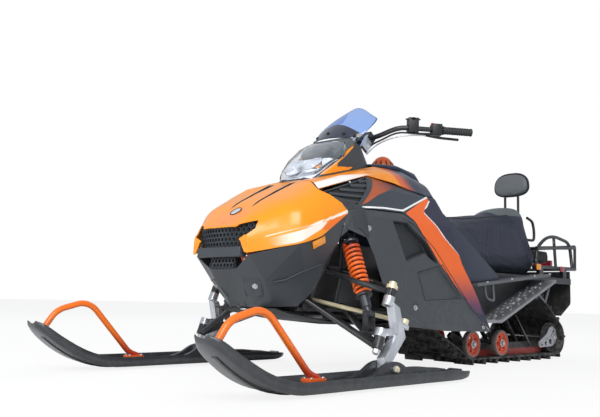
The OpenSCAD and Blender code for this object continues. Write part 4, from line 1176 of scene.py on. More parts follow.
@dataclass
class Headlight(Assembly):
    """Pod, lens, reflectors and windshield."""

    shield_rows: int = 16

    def build(self) -> None:
        """Builds the lamp and the shield."""
        pod = self.refined("headlight_pod", POD_PAINT, 0.004, 40)
        worked(pod, "TRIANGULATE")
        with editing(pod):
            bpy.ops.mesh.subdivide(number_cuts=5)
        arrow = [(-30, 764), (-262, 930), (-249, 912), (-128, 812), (-235, 824), (-223, 813), (-80, 774)]
        cheek = [(-20, 752), (-30, 764), (-262, 934), (-290, 960), (-230, 1000), (40, 800)]
        marked(pod, "arrow", lambda p: inside(arrow, p.x, p.z) if abs(p.y) > 100 else -9)
        marked(pod, "cheek", lambda p: inside(cheek, p.x, p.z) if abs(p.y) > 60 else -9)
        self.refined("headlight_lens", CLEAR, 0.0, 40).visible_shadow = False
        self.lamps()
        self.shield()

    def lamps(self) -> None:
        """Two bright bowls with bulbs, and a silver housing whose near-white colour is a painted reflection."""
        lean = math.atan2(872 - 706, 204)
        normal = Vector((math.sin(lean), 0, math.cos(lean)))
        bowl = [(0.012, 0.0), (0.03, 0.006), (0.042, 0.016), (0.047, 0.028), (0.0485, 0.028), (0.044, 0.015),
                (0.032, 0.004), (0.012, -0.002)]
        for s, side in SIDES:
            foot = at(-100, s * 52, 797)
            shell = turned("lamp_bowl_" + side, bowl, foot + normal * 0.004, normal, 36)
            self.done(shell, CHROME, "headlight_reflectors", replaces=["headlight_reflectors"] if s > 0 else [])
            bulb = turned("lamp_bulb_" + side, [(0.006, 0.0), (0.007, 0.012), (0.006, 0.02), (0.002, 0.023)],
                          foot + normal * 0.006, normal, 16)
            self.done(bulb, BULB, "headlight_reflectors")
        base = at(-184, 0, 866)
        down, rise = math.cos(lean), math.sin(lean)
        rows = []
        for k in range(15):
            x, z, narrow = k * 0.0125 * down, -k * 0.0125 * rise, 1 - 0.0012 * k * k
            rows.append([base + Vector((x, y / 1000 * narrow, z)) + normal * 0.001 for y in range(-118, 119, 16)])
        # The housing's near-white colour is a painted reflection.
        self.done(skin("lamp_housing", rows, normal, 0.001, 0), LAMP_GREY, "headlight_reflectors")
        for s, side in SIDES:
            path = []
            for k in range(12):
                y = s * (0.112 - 0.001 * k * k / 3)
                path.append(base + Vector((0.012 * k * down, y, -0.012 * k * rise)) + normal * 0.008)
            self.done(tube("lamp_brow_" + side, path, 0.004, 3), DARK_PLASTIC, "headlight_pod")

    def point(self, s: float, v: float) -> Vector:
        """Point of the shield.

        Args:
            s: Place across, from -1 at the right edge to 1 at the left.
            v: Place upwards, from 0 to 1.

        Returns:
            The point in metres.
        """
        half = 145 * (0.9 + 0.2 * math.sin(math.radians(v * 150)) - 0.14 * v * v)
        half *= 1 - 0.3 * max(0.0, (v - 0.7) / 0.3) ** 2.4
        return at(-206 - 76 * s * s - v * (202 - 66 * s * s) + 12 * math.sin(math.radians(v * 180)), s * half,
                  955.5 + s * s + v * (172 - 50 * s * s))

    def shield(self) -> None:
        """Blue shield, its dark lower band and its screws."""
        n = self.shield_rows
        rows = [[self.point(1 - k / 14, v / n) for k in range(29)] for v in range(n + 1)]
        glass = skin("shield", rows, Vector((1, 0, 0.6)), 0.004, 0.001)
        glass.visible_shadow = False
        self.done(glass, BLUE_TINT, "windshield", replaces=["windshield"])
        band = []
        for v in range(7):
            row = []
            for k in range(29):
                s = 1 - k / 14
                top = 0.42 - 0.32 * abs(s) ** 1.6
                row.append(self.point(s, top * v / 6) + Vector((0.0008, 0, 0.0006)))
            band.append(row)
        self.done(skin("shield_band", band, Vector((1, 0, 0.6)), 0.001, 0), SHIELD_BAND, "windshield")
        for k, (s, v) in enumerate(((0.55, 0.1), (-0.55, 0.1), (0.86, 0.04), (-0.86, 0.04), (0.0, 0.14))):
            place, axis = self.point(s, v) + Vector((0.0012, 0, 0.001)), Vector((0.75, s * 0.6, 0.5))
            self.done(bolt(f"shield_screw_{k}", place, axis, 0.0055), BLACK_PLASTIC, "windshield")


@dataclass
class BodySides(Assembly):
    """Side panels, shrouds, vents, covers, console and cap."""

    panel_low: tuple = ((-918, 163), (-760, 166), (-574, 170), (-324, 189), (-187, 314), (-98, 517), (-14, 545))
    panel_high: tuple = ((-905, 172), (-782, 250), (-664, 344), (-551, 436), (-390, 599), (-326, 629), (-72, 622))
    band_low: tuple = ((-922, 167), (-778, 256), (-660, 350), (-548, 440), (-388, 604), (-326, 634), (-72, 628))
    band_high: tuple = ((-876, 236), (-800, 345), (-716, 448), (-660, 560), (-595, 728), (-440, 748), (-204, 772))
    deck_inner: tuple = ((-600, 180, 812), (-526, 153.5, 846), (-440, 146, 846), (-356, 140, 843), (-240, 137.8, 812),
                         (-120, 132, 778), (14, 96, 742))
    deck_outer: tuple = ((-592, 280, 728), (-526, 282, 730), (-440, 268, 745), (-356, 252, 764), (-204, 236, 777),
                         (-90, 244, 742), (84, 250, 687))
    foot_recess: tuple = ((-250, 592), (-345, 592), (-520, 488), (-536, 440), (-452, 480), (-346, 448), (-326, 440))

    def build(self) -> None:
        """Builds both sides."""
        self.panels()
        self.shrouds()
        self.vents()
        self.refined("rear_covers", NAVY_PLASTIC, 0.001, 30)
        self.refined("console", NAVY_PLASTIC, 0.001, 50)
        self.cap()
        rows = smooth_rows([[at(*p) for p in row] for row in (
            ((-18, 297, 608), (-30, 304, 613), (-50, 318, 621), (-78, 333, 628)),
            ((-12, 296, 570), (-34, 308, 578), (-62, 324, 586), (-94, 334, 580)),
            ((6, 292, 512), (-30, 306, 545), (-66, 323, 548), (-104, 337, 518)))], 8)
        self.pair(skin("arch_cover", rows, Vector((0.4, 1, 0)), 0.003, 0.001), PANEL_PLASTIC, "side_panels")

    def relief(self, p: Vector) -> float:
        """Depth of the side panel's recesses.

        Args:
            p: Place in millimetres.

        Returns:
            Depth in millimetres.
        """
        x, z = p.x, p.z
        lower = [(-400, 398), (-568, 432), (-690, 306), (-446, 296)]
        door = [(-246, 590), (-330, 440), (-300, 240), (-420, 196), (-860, 190), (-700, 320), (-540, 446), (-360, 600)]
        fin = near_line([(-313, 430), (-346, 451), (-462, 484)], x, z)
        sill = near_line([(-440, 284), (-700, 286)], x, z)
        depth = 22 * ramp(inside(self.foot_recess, x, z), -3, 7) + 9 * ramp(inside(lower, x, z), -3, 7)
        depth += 3 * ramp(inside(door, x, z), -2, 4) + 2.5 * (1 - ramp(sill, 1, 5)) - 5 * (1 - ramp(fin, 2, 10))
        edge = inside(list(self.panel_low) + list(reversed(self.panel_high)), x, z)
        return max(0.0, depth) * ramp(edge, 4, 12)

    def panels(self) -> None:
        """Grained side panels with their recesses, painted shade in the foot recess, and bolts."""
        rows = side_rows(self.panel_low, self.panel_high, 96, 24, self.relief)
        panel = skin("side_panel", rows, ACROSS, 0.003, 0.0012)
        # Painted shade: near-black inside the foot recess.
        marked(panel, "painted_recess_shade", lambda p: inside(self.foot_recess, p.x, p.z))
        self.pair(panel, PANEL_PLASTIC, "side_panels", replaces=["side_panels"])
        grooves = ([(-314, 611), (-380, 590), (-514, 505), (-739, 296)],
                   [(-399, 401), (-570, 439), (-698, 304), (-440, 292), (-399, 401)])
        for k, groove in enumerate(grooves):
            line = [at(p.x, side_y(p.x, p.y) - self.relief(Vector((p.x, 0, p.y))), p.y) for p in along(groove, 10)]
            self.pair(tube(f"panel_groove_{k}", line, 0.0015, 3), BLACK_PLASTIC, "side_panels")
        for k, (x, z) in enumerate(((-109, 553), (-375, 262), (-860, 182))):
            y = side_y(x, z) - self.relief(Vector((x, 0, z)))
            piece = bolt(f"panel_bolt_{k}", at(x, y - 1, z), Vector((0, 1, 0.1)), 0.008 if k < 2 else 0.006)
            self.pair(piece, STEEL, "dampers")
            rim = hoop(24, lambda c, s: at(x + 15 * c, y + 0.2, z + 15 * s))
            self.pair(tube(f"bolt_well_{k}", rim, 0.0016, 3, closed=True), DARK_PLASTIC, "side_panels")

    def shrouds(self) -> None:
        """Painted deck and side band."""
        band = skin("shroud_band", side_rows(self.band_low, self.band_high, 44, 16), ACROSS, 0.004, 0.001)
        flame = [(-200, 775), (-50, 627), (-50, 622), (-112, 649), (-203, 692), (-331, 737), (-420, 757), (-600, 752),
                 (-600, 800), (-205, 790)]
        wave = [(-50, 624), (-116, 651), (-203, 693), (-331, 737), (-420, 757), (-473, 762), (-560, 745), (-560, 724),
                (-540, 720), (-335, 636), (-212, 632), (-62, 620)]
        wedge = [(-346, 634), (-540, 722), (-546, 708), (-474, 650), (-596, 551), (-753, 451), (-790, 400),
                 (-860, 235), (-800, 250), (-660, 352), (-548, 443), (-388, 606)]
        rim = [(-60, 640), (-60, 600), (-326, 600), (-922, 150), (-935, 165), (-778, 262), (-658, 357), (-546, 447),
               (-385, 611), (-328, 641), (-212, 638)]
        first = [(-55, 629), (-212, 641), (-333, 643), (-541, 723)]
        second = [(-547, 706), (-476, 650), (-596, 551), (-753, 451)]
        marked(band, "flame", lambda p: inside(flame, p.x, p.z))
        marked(band, "flame_fade", lambda p: ramp(-p.x, 190, 400))
        marked(band, "wave", lambda p: inside(wave, p.x, p.z))
        marked(band, "wedge", lambda p: inside(wedge, p.x, p.z))
        marked(band, "wedge_fade", lambda p: ramp(-p.z, -440, -250))
        marked(band, "rim", lambda p: inside(rim, p.x, p.z))
        marked(band, "piping", lambda p: max(3.4 - near_line(first, p.x, p.z),
                                            2.7 * ramp(p.z, 440, 560) - near_line(second, p.x, p.z) + 0.6))
        self.pair(band, SHROUD_PAINT, "side_shrouds", replaces=["side_shrouds"])
        outer, inner = along(self.deck_outer, 12), along(self.deck_inner, 12)
        middle = [mix(a, b, 0.5) + Vector((0, 10, 8)) for a, b in zip(outer, inner)]
        rows = smooth_rows([[at(*p) for p in r] for r in (outer, middle, inner)], 10)
        deck = skin("deck", rows, Vector((0, 0.5, 1)), 0.004, 0.001)
        marked(deck, "flash", lambda p: inside([(92, 684), (86, 706), (-90, 764), (-330, 803), (-206, 776), (-90, 741)],
                                               p.x, p.z))
        marked(deck, "flash_fade", lambda p: ramp(-p.x, 90, 300))
        marked(deck, "tail", lambda p: -p.x - 395)
        marked(deck, "tail_fade", lambda p: ramp(-p.x, 400, 490))
        self.pair(deck, DECK_PAINT, "side_shrouds")

    def vents(self) -> None:
        """Louvred triangle on each side."""
        low, high = ((-70.6, 628.6), (-10, 645), (80, 668)), ((-197.4, 767), (-90, 731), (80, 672))
        back = skin("vent_back", side_rows(low, high, 12, 8, lambda p: 9.0), ACROSS, 0.002, 0)
        self.pair(back, BLACK_PLASTIC, "side_vents", replaces=["side_vents"])
        hood_edge = [(-31, 299, 607), (-12, 297, 622), (12, 296, 641), (40, 286, 655), (72, 268, 672)]
        vent_edge = [(-76, 329, 629), (-46, 323, 636), (-12, 316, 646), (30, 293, 657), (76, 257, 669)]
        sill = [[at(*p) for p in along(row, 4)] for row in (hood_edge, vent_edge)]
        self.pair(skin("vent_sill", sill, Vector((0.3, 1, 0.3)), 0.002, 0), DARK_PLASTIC, "side_vents")
        rim = [(-70.6, 629.5), (-10, 646), (78, 669), (-90, 730), (-196, 766)]
        frame_path = [at(x, side_y(x, z) - 3.2, z) for x, z in [(p.x, p.y) for p in along(rim + [rim[0]], 6)][:-1]]
        self.pair(tube("vent_rim", frame_path, 0.003, 3, closed=True), DARK_PLASTIC, "side_vents")
        for k in range(5):
            t = 0.12 + 0.19 * k
            z0, z1 = 632 + 128 * t, 636 + 112 * t
            x0 = -74 - 122 * t
            x1 = x0 + 28 + 118 * (1 - abs(t - 0.32) * 1.35)
            top = [at(x0, side_y(x0, z0) - 2.4, z0), at(x1, side_y(x1, z1) - 2.4, z1),
                   at(x1 + 2, side_y(x1, z1) - 8.5, z1 + 9), at(x0 - 3, side_y(x0, z0) - 8.5, z0 + 9)]
            self.pair(plate(f"vent_slat_{k}", top, Vector((0, -0.001, -0.0035)), 0.0008), DARK_PLASTIC, "side_vents")
        edges = ((-60, 629), (-199, 768)), ((-78, 631), (-226, 762))
        rows = [[at(p.x, side_y(p.x, p.y) + 2.2, p.y) for p in along(edge, 8)] for edge in edges]
        self.pair(skin("vent_strip", rows, ACROSS, 0.002, 0.0006), DARK_PLASTIC, "side_vents")

    def cap(self) -> None:
        """Domed filler cap with a dark rim and ribs."""
        profile = [(0.047, 0.0), (0.05, 0.002), (0.05, 0.012), (0.047, 0.02), (0.04, 0.034), (0.03, 0.046),
                   (0.018, 0.053), (0.006, 0.0565)]
        cap = turned("filler_dome", profile, at(-595, 0, 882), UP, 40)
        self.done(cap, LOOP_PLASTIC, "filler_cap", replaces=["filler_cap"])
        rim = turned("filler_rim", [(0.058, 0.0), (0.058, 0.008), (0.056, 0.01)], at(-595, 0, 882), UP, 40)
        self.done(rim, BLACK_PLASTIC, "filler_cap")
        first = tube("rib", [at(-595 + 49 - 7.6 * k * k / 3, 0, 894 + 9 * k) for k in range(5)], 0.0035, 3)
        ribs = []
        centre = at(-595, 0, 882)
        for k in range(12):
            turn = Matrix.Translation(centre) @ Matrix.Rotation(math.tau * k / 12, 4, "Z") @ Matrix.Translation(-centre)
            ribs.append(copied(first, "rib_copy", turn))
        bpy.data.objects.remove(first)
        self.done(joined("filler_ribs", ribs), BLACK_PLASTIC, "filler_cap")


@dataclass
class Seating(Assembly):
    """Padded seat, raised rear patch and backrest."""

    seat_voxel: float = 0.009
    pad_voxel: float = 0.005
    frames: int = 14
    # Place along, top, bottom and half width of each cross section
    stations: tuple = ((-888, 676, 592, 170), (-905, 684, 574, 180), (-960, 688, 520, 188), (-1030, 690, 470, 192),
                       (-1110, 699, 446, 194), (-1171, 706, 440, 194), (-1280, 722, 439, 194), (-1400, 738, 439, 192),
                       (-1462, 750, 439, 190), (-1500, 773, 439, 188), (-1560, 794, 439, 182), (-1630, 806, 440, 178),
                       (-1682, 798, 445, 174), (-1701, 766, 470, 164))
    # Ends and depth of each pull in the cover
    pulls: tuple = (((-1290, 700), (-1180, 560), 5.0), ((-1400, 700), (-1330, 590), 4.0),
                    ((-1060, 660), (-1180, 500), 3.5), ((-1520, 730), (-1600, 560), 4.0),
                    ((-1250, 520), (-1480, 480), 3.0), ((-960, 640), (-1010, 560), 3.0))

    def build(self) -> None:
        """Builds the soft pieces."""
        self.seat()
        self.backrest()
        self.refined("backrest_posts", SATIN_BLACK, 0.0, 50)
        self.refined("grab_bar", SATIN_BLACK, 0.0, 60)

    def puffed(self, obj: bpy.types.Object, voxel: float, pressure: float, cap: float,
               hold: Callable[[Vector], bool]) -> bpy.types.Object:
        """Fills a closed shape like a cushion by cloth simulation.

        Args:
            obj: The closed shape, slightly smaller than the cushion.
            voxel: Size of its remeshed faces in metres.
            pressure: Air pressure of the simulation.
            cap: Most that a point may move in metres.
            hold: Tells which points stay where they are.

        Returns:
            The filled shape.
        """
        worked(obj, "REMESH", mode="VOXEL", voxel_size=voxel, use_smooth_shade=True)
        before = [v.co.copy() for v in obj.data.vertices]
        pins = obj.vertex_groups.new(name="held")
        pins.add([v.index for v in obj.data.vertices if hold(local(v.co))], 1.0, "REPLACE")
        take(obj)
        cloth = obj.modifiers.new("Cloth", "CLOTH")
        cloth.settings.use_pressure = True
        cloth.settings.uniform_pressure_force = pressure
        cloth.settings.vertex_group_mass = "held"
        cloth.settings.effector_weights.gravity = 0
        cloth.settings.quality = 5
        scene = bpy.context.scene
        for frame_number in range(1, self.frames + 1):
            scene.frame_set(frame_number)
        done = obj.evaluated_get(bpy.context.evaluated_depsgraph_get())
        after = [v.co.copy() for v in done.data.vertices]
        obj.modifiers.remove(cloth)
        scene.frame_set(1)
        for v, a, b in zip(obj.data.vertices, before, after):
            step = b - a
            v.co = a + step * min(1.0, cap / max(step.length, 1e-9))
        obj.vertex_groups.clear()
        worked(obj, "SMOOTH", factor=0.5, iterations=2)
        return smooth(obj, 60)

    def seat(self) -> None:
        """Long seat from cross sections, narrower at both ends, with a crowned top."""
        rows = []
        for x, top, low, half in self.stations:
            row = []
            for k in range(36):
                a = math.tau * k / 36
                c, s = math.cos(a), math.sin(a)
                u = math.copysign(abs(c) ** 0.42, c)
                v = math.copysign(abs(s) ** 0.42, s)
                z = (top + low) / 2 + v * (top - low) / 2
                share = ramp(z, low + 20, top)
                row.append(at(x, u * half * (1 - 0.36 * share), z + (5 if v > 0 else 0) * (1 - u * u)))
            rows.append(row)
        seat = loft("seat_cushion", smooth_rows(rows, 4))
        self.puffed(seat, self.seat_voxel, 2.5, 0.008, lambda p: p.z < 448 or (p.x > -895 and p.z < 720))
        self.creases(seat)
        worked(seat, "SUBSURF", levels=1, render_levels=1)
        patch = [(-1474, 126), (-1500, 134), (-1700, 138), (-1700, -138), (-1500, -134), (-1474, -126)]
        marked(seat, "grey", lambda p: min(inside(patch, p.x, p.y), p.z - 752 - (-1474 - p.x) * 0.03))
        smooth(seat, 60)
        self.done(seat, SEAT_COVER, "seat", replaces=["seat"])
        for s, side in SIDES:
            path = [at(x, s * (half * 0.66 + 7), top - 2) for x, top, low, half in self.stations[1:9]]
            seam = tube("seat_seam_" + side, [p for row in smooth_rows([[q] for q in path], 5) for p in row], 0.0032, 3)
            self.done(seam, SEAM, "seat")

    def creases(self, seat: bpy.types.Object) -> None:
        """Slanting pulls in the cover on the seat's sides.

        Args:
            seat: The filled seat.
        """
        for v in seat.data.vertices:
            p = local(v.co)
            pull = 0.0
            for a, b, depth in self.pulls:
                d = near_line([a, b], p.x, p.z)
                pull += depth * math.exp(-((d / 13) ** 2)) - depth * 0.5 * math.exp(-(((d - 26) / 14) ** 2))
            if 460 < p.z < 735:
                v.co.y -= math.copysign(pull * 0.9, p.y) / 1000 * ramp(abs(p.y), 60, 120)

    def backrest(self) -> None:
        """Rounded backrest pad, wider below, with a dark rim."""
        outline = []
        for k in range(48):
            a = math.tau * k / 48
            c, s = math.cos(a), math.sin(a)
            width = 104 - 22 * (0.5 + 0.5 * s)
            u = math.copysign(abs(c) ** 0.72, c) * (width + 6)
            v = math.copysign(abs(s) ** 0.8, s) * 60
            outline.append((u, 955 + v))
        pad = plate("backrest_cushion", [at(-1773, y, z) for y, z in outline], Vector((0.036, 0, 0)), 0.012)
        self.puffed(pad, self.pad_voxel, 3.0, 0.007, lambda p: p.x < -1776)
        worked(pad, "SUBSURF", levels=1, render_levels=1)
        smooth(pad, 60)
        self.done(pad, PAD_COVER, "backrest_pad", replaces=["backrest_pad"])
        rim = [at(-1757, y * 1.045, 955 + (z - 955) * 1.07) for y, z in outline]
        self.done(tube("backrest_rim", rim, 0.0045, 4, closed=True), SEAM, "backrest_pad")


@dataclass
class Rack(Assembly):
    """Rear rack, box, lights, tunnel, boards and flap."""

    def build(self) -> None:
        """Builds the rear of the vehicle."""
        self.refined("rear_rack", SATIN_BLACK, 0.0, 50)
        self.refined("rack_box", BLACK_PLASTIC, 0.012, 30)
        for k in range(5):
            rib = block(f"box_rib_{k}", at(-1916 + 36 * k, -131, 528), at(-1908 + 36 * k, 131, 566), 0.002)
            self.done(rib, BLACK_PLASTIC, "rack_box")
        self.refined("tail_light", RED_LENS, 0.003)
        self.refined("tunnel", FRAME_PAINT, 0.001)
        self.refined("hitch", SATIN_BLACK, 0.0015)
        self.flap()
        self.boards()

    def flap(self) -> None:
        """Rubber flap with cut corners, hung on a steel strip."""
        rows = []
        for v in range(21):
            z = 477 - v * 12.4
            half = 209 if z > 296 else 209 - (296 - z) * 0.85
            x = -2022.5 - 3 * math.sin(math.pi * (477 - z) / 249)
            rows.append([at(x, half * (k / 10 - 1), z) for k in range(21)])
        flap = skin("flap_sheet", rows, Vector((-1, 0, 0)), 0.005, 0.001)
        self.done(flap, RUBBER, "snow_flap", replaces=["snow_flap"])
        strip = block("flap_strip", at(-2028.5, -200, 452), at(-2024, 200, 472), 0.001)
        self.done(strip, SATIN_BLACK, "hitch")
        for k in range(6):
            y = -180 + 72 * k
            self.done(bolt(f"flap_bolt_{k}", at(-2027.5, y, 462), Vector((-1, 0, 0)), 0.0038), STEEL, "dampers")

    def boards(self) -> None:
        """Running boards with teeth and a rim, and the foot rails with their fittings."""
        self.refined("running_boards", SHEET_ALLOY, 0.001, 30)
        self.refined("foot_rails", RAIL_GREY, 0.003, 40)
        edge = [at(-452, 329, 207), at(-1060, 329, 207), at(-1598, 329, 408)]
        self.pair(tube("board_rim", rounded(edge, 0.04), 0.0055, 4), SHEET_ALLOY, "running_boards")
        tooth = turned("tooth", [(0.0075, 0.0), (0.0065, 0.004), (0.005, 0.004), (0.0045, 0.001)], Vector(), UP, 8)
        teeth = []
        for k in range(26):
            x, z, tilt = -640 - 30 * k, 213.5, 0.0
            if k >= 14:
                x = -1080 - 36 * (k - 14)
                z, tilt = 214.5 + (-1060 - x) * 0.374, math.radians(20.5)
            for y in (238, 262, 306) if k % 2 else (250, 284):
                move = Matrix.Translation(at(x, y, z)) @ Matrix.Rotation(tilt, 4, "Y")
                teeth.append(copied(tooth, "tooth_copy", move))
        bpy.data.objects.remove(tooth)
        self.pair(joined("board_teeth", teeth), SHEET_ALLOY, "running_boards")
        for k, x in enumerate((-960, -1180, -1400, -1560)):
            z = 411.5 + (-1262 - x) * 0.103
            self.pair(bolt(f"rail_bolt_{k}", at(x, 318, z), Vector((0.1, 0, 1)), 0.006), STEEL, "dampers")
        brace = tube("board_brace", [at(-1430, 322, 338), at(-1500, 322, 300), at(-1560, 318, 392)], 0.006, 4)
        self.pair(brace, RAIL_GREY, "foot_rails")


@dataclass
class Track(Assembly):
    """Rubber track loop with lugs, clips and the skid inside it."""

    wheels: tuple = (((-1870, 113), 89), ((-1036, 96), 72), ((-620, 300), 84), ((-1620, 330), 54))
    steps: int = 240
    lugs: int = 58
    belt: float = 8.0
    lug: float = 24.0
    idler_axles: tuple[float, float] = (-1036, -1296)

    def __post_init__(self) -> None:
        """Works out where the belt leaves and meets each wheel."""
        w = self.wheels
        self.tangents = []
        for i in range(4):
            (a, ra), (b, rb) = w[i], w[(i + 1) % 4]
            v = Vector(b) - Vector(a)
            self.tangents.append(math.atan2(v.y, v.x) - math.acos((ra - rb) / v.length))
        self.turns = [(self.tangents[i] - self.tangents[i - 1] + 2 * math.tau) % math.tau for i in range(4)]
        self.arcs = [self.turns[i] * w[i][1] for i in range(4)]
        self.runs = [(self.on_wheel((i + 1) % 4, self.tangents[i], 0) - self.on_wheel(i, self.tangents[i], 0)).length
                     for i in range(4)]
        self.length = sum(self.arcs) + sum(self.runs)

    def on_wheel(self, i: int, angle: float, out: float) -> Vector:
        """Point around a wheel, raised from the belt's outer face.

        Args:
            i: Number of the wheel.
            angle: Place around it in radians.
            out: Height above the belt in millimetres.

        Returns:
            The point in the side view in millimetres.
        """
        c, r = self.wheels[i]
        return Vector((c[0] + (r + out) * math.cos(angle), c[1] + (r + out) * math.sin(angle)))

    def point(self, s: float, out: float) -> Vector:
        """Point at a distance along the belt, raised from its outer face.

        Args:
            s: Distance along the belt in millimetres.
            out: Height above it.

        Returns:
            The point in the side view in millimetres.
        """
        s %= self.length
        for i in range(4):
            if s < self.arcs[i]:
                return self.on_wheel(i, self.tangents[i - 1] + self.turns[i] * s / self.arcs[i], out)
            s -= self.arcs[i]
            if s < self.runs[i]:
                a = self.on_wheel(i, self.tangents[i], out)
                b = self.on_wheel((i + 1) % 4, self.tangents[i], out)
                return a + (b - a) * (s / self.runs[i])
            s -= self.runs[i]
        return self.on_wheel(0, self.tangents[3], out)

    def frame_at(self, s: float) -> Matrix:
        """Frame on the belt: Z outwards and X along it.

        Args:
            s: Distance along the belt in millimetres.

        Returns:
            The frame in metres.
        """
        p, q = self.point(s, 0), self.point(s, 10)
        out = (q - p).normalized()
        run = Vector((-out.y, out.x))
        place = at(p.x, 0, p.y)
        return Matrix(((run.x, 0, out.x, place.x), (0, 1, 0, 0), (run.y, 0, out.y, place.z), (0, 0, 0, 1)))

    def build(self) -> None:
        """Builds the track and the skid."""
        rows = []
        for k in range(self.steps + 1):
            p = self.point(self.length * k / self.steps, 0)
            rows.append([at(p.x, y, p.y) for y in (-200, -150, -75, 0, 75, 150, 200)])
        belt = grid("track_belt", rows)
        with editing(belt):
            bpy.ops.mesh.remove_doubles(threshold=1e-5)
        outward(belt)
        first = belt.data.polygons[0]
        p, q = self.point(0, 0), self.point(0, 10)
        if first.normal.dot(Vector((q.x - p.x, 0, q.y - p.y))) < 0:
            belt.data.flip_normals()
        worked(belt, "SOLIDIFY", thickness=self.belt / 1000, offset=-1)
        smooth(belt, 40)
        self.done(belt, RUBBER, "track", replaces=["track"])
        self.lug_rows()
        self.skid()

    def lug_rows(self) -> None:
        """Lugs in three staggered blocks across, steel clips and drive teeth."""
        pitch = self.length / self.lugs
        shapes = []
        for low, high in ((-196, -92), (-60, 60), (92, 196)):
            top = Vector((0.008, high / 1000, self.lug / 1000))
            shapes.append(block("lug", Vector((-0.008, low / 1000, -0.001)), top, 0.002, 1))
            self.taper(shapes[-1])
        short = block("lug_low", Vector((-0.006, -0.09, -0.001)), Vector((0.006, 0.09, 0.011)), 0.002, 1)
        clip = block("clip", Vector((-0.013, -0.012, -0.001)), Vector((0.013, 0.012, 0.0025)), 0.001, 1)
        tooth = block("drive_tooth", Vector((-0.01, -0.008, -0.02)), Vector((0.01, 0.008, -0.0078)), 0.003, 1)
        lugs, clips, teeth = [], [], []
        for k in range(self.lugs):
            here = self.frame_at((k + 0.5) * pitch)
            if k % 2:
                lugs += [copied(shapes[0], "l", here), copied(shapes[2], "l", here), copied(short, "l", here)]
            else:
                lugs += [copied(shapes[1], "l", here)]
                lugs += [copied(short, "l", here @ Matrix.Translation((0, s * 0.105, 0))) for s in (-1, 1)]
            half = self.frame_at(k * pitch)
            for y in (-0.124, 0.124):
                clips.append(copied(clip, "c", half @ Matrix.Translation((0, y, 0))))
                teeth.append(copied(tooth, "t", half @ Matrix.Translation((0, y * 0.55, 0))))
        for spare in (*shapes, short, clip, tooth):
            bpy.data.objects.remove(spare)
        self.done(joined("track_lugs", lugs), RUBBER, "track")
        self.done(joined("track_clips", clips), STEEL, "dampers")
        self.done(joined("track_teeth", teeth), RUBBER, "track")

    @staticmethod
    def taper(lug: bpy.types.Object) -> None:
        """Narrows a lug towards its tip.

        Args:
            lug: The lug, standing on the origin.
        """
        with editing(lug):
            bpy.ops.mesh.select_all(action="DESELECT")
        for v in lug.data.vertices:
            v.select = v.co.z > 0.012
        bpy.ops.object.mode_set(mode="EDIT")
        bpy.ops.transform.resize(value=(0.62, 1.0, 1.0), center_override=(0, 0, 0.024))
        bpy.ops.object.mode_set(mode="OBJECT")

    def wheel(self, name: str, radius: float, wide: float, spokes: int) -> tuple[bpy.types.Object, bpy.types.Object]:
        """A spoked disc and its rubber rim about the Y axis at the origin.

        Args:
            name: Name of the pieces.
            radius: Outer radius in metres.
            wide: Width in metres.
            spokes: Number of openings.

        Returns:
            The disc and the rim.
        """
        h, r = wide / 2, radius
        section = [(0.86, -1), (0.97, -1), (1, -0.7), (1, 0.7), (0.97, 1), (0.86, 1)]
        tyre = ring(name + "_tyre", [(r * u, h * v) for u, v in section], Vector(), ACROSS)
        half = [(0.2, 0.95), (0.3, 0.95), (0.33, 0.35), (0.68, 0.3), (0.74, 0.85), (0.85, 0.9)]
        profile = [(r * u, -h * v) for u, v in half] + [(r * u, h * v) for u, v in reversed(half)]
        disc = turned(name + "_disc", profile, Vector(), ACROSS, 40)
        for place in hoop(spokes, lambda c, s: Vector((c, 0, s)) * r * 0.5):
            bored(disc, turned("hole", [(r * 0.135, -wide), (r * 0.135, wide)], place, ACROSS, 12))
        return smooth(disc, 40), tyre

    def skid(self) -> None:
        """Wheels, rails, arms and castings inside the track."""
        disc, rim = self.wheel("idler", 0.0632, 0.024, 5)
        nut = bolt("axle_nut", Vector((0, 0.0125, 0)), ACROSS, 0.013)
        discs, rims, nuts = [], [], []
        for x in self.idler_axles:
            for s, turn in ((-1, MIRROR), (1, Matrix.Identity(4))):
                move = Matrix.Translation(at(x, s * 186, 96))
                discs.append(copied(disc, "d", move))
                rims.append(copied(rim, "r", move))
                nuts.append(copied(nut, "n", move @ turn))
        self.done(joined("idler_discs", discs), WHEEL_RED, "idler_wheels", replaces=["idler_wheels"])
        self.done(joined("idler_tyres", rims), TYRE, "track")
        axles = [turned("axle", [(0.0095, -0.19), (0.0095, 0.19)], at(x, 0, 96), ACROSS, 20) for x in self.idler_axles]
        big, big_rim = self.wheel("rear", 0.0802, 0.026, 6)
        moves = [Matrix.Translation(at(-1870, s * 156, 113)) for s in (-1, 1)]
        self.done(joined("rear_discs", [copied(big, "b", move) for move in moves]), FRAME_PAINT, "rear_wheels",
                  replaces=["rear_wheels"])
        self.done(joined("rear_tyres", [copied(big_rim, "b", move) for move in moves]), RUBBER, "track")
        axles.append(turned("axle", [(0.01, -0.185), (0.01, 0.185)], at(-1870, 0, 113), ACROSS, 20))
        for s, turn in ((-1, MIRROR), (1, Matrix.Identity(4))):
            nuts.append(copied(nut, "n", Matrix.Translation(at(-1870, s * 158, 113)) @ turn))
        self.done(joined("skid_axles", axles + nuts), STEEL, "drive_axle")
        for spare in (disc, rim, nut, big, big_rim):
            bpy.data.objects.remove(spare)
        rails = self.refined("slide_rails", SKID_RED, 0.0015)
        marked(rails, "web", lambda p: p.z - 62)
        self.refined("drive_axle", STEEL, 0.001, 40)
        self.refined("skid_arms", FRAME_PAINT, 0.0, 40)
        cast = [(-1908, 96), (-1912, 128), (-1896, 160), (-1862, 176), (-1832, 168), (-1800, 134), (-1716, 96),
                (-1706, 76), (-1730, 62), (-1860, 66)]
        side = plate("skid_casting", [at(x, 171, z) for x, z in cast], Vector((0, 0.008, 0)), 0.0025)
        for x, z, r in ((-1836, 92, 15), (-1784, 84, 12), (-1872, 142, 10), (-1742, 78, 8)):
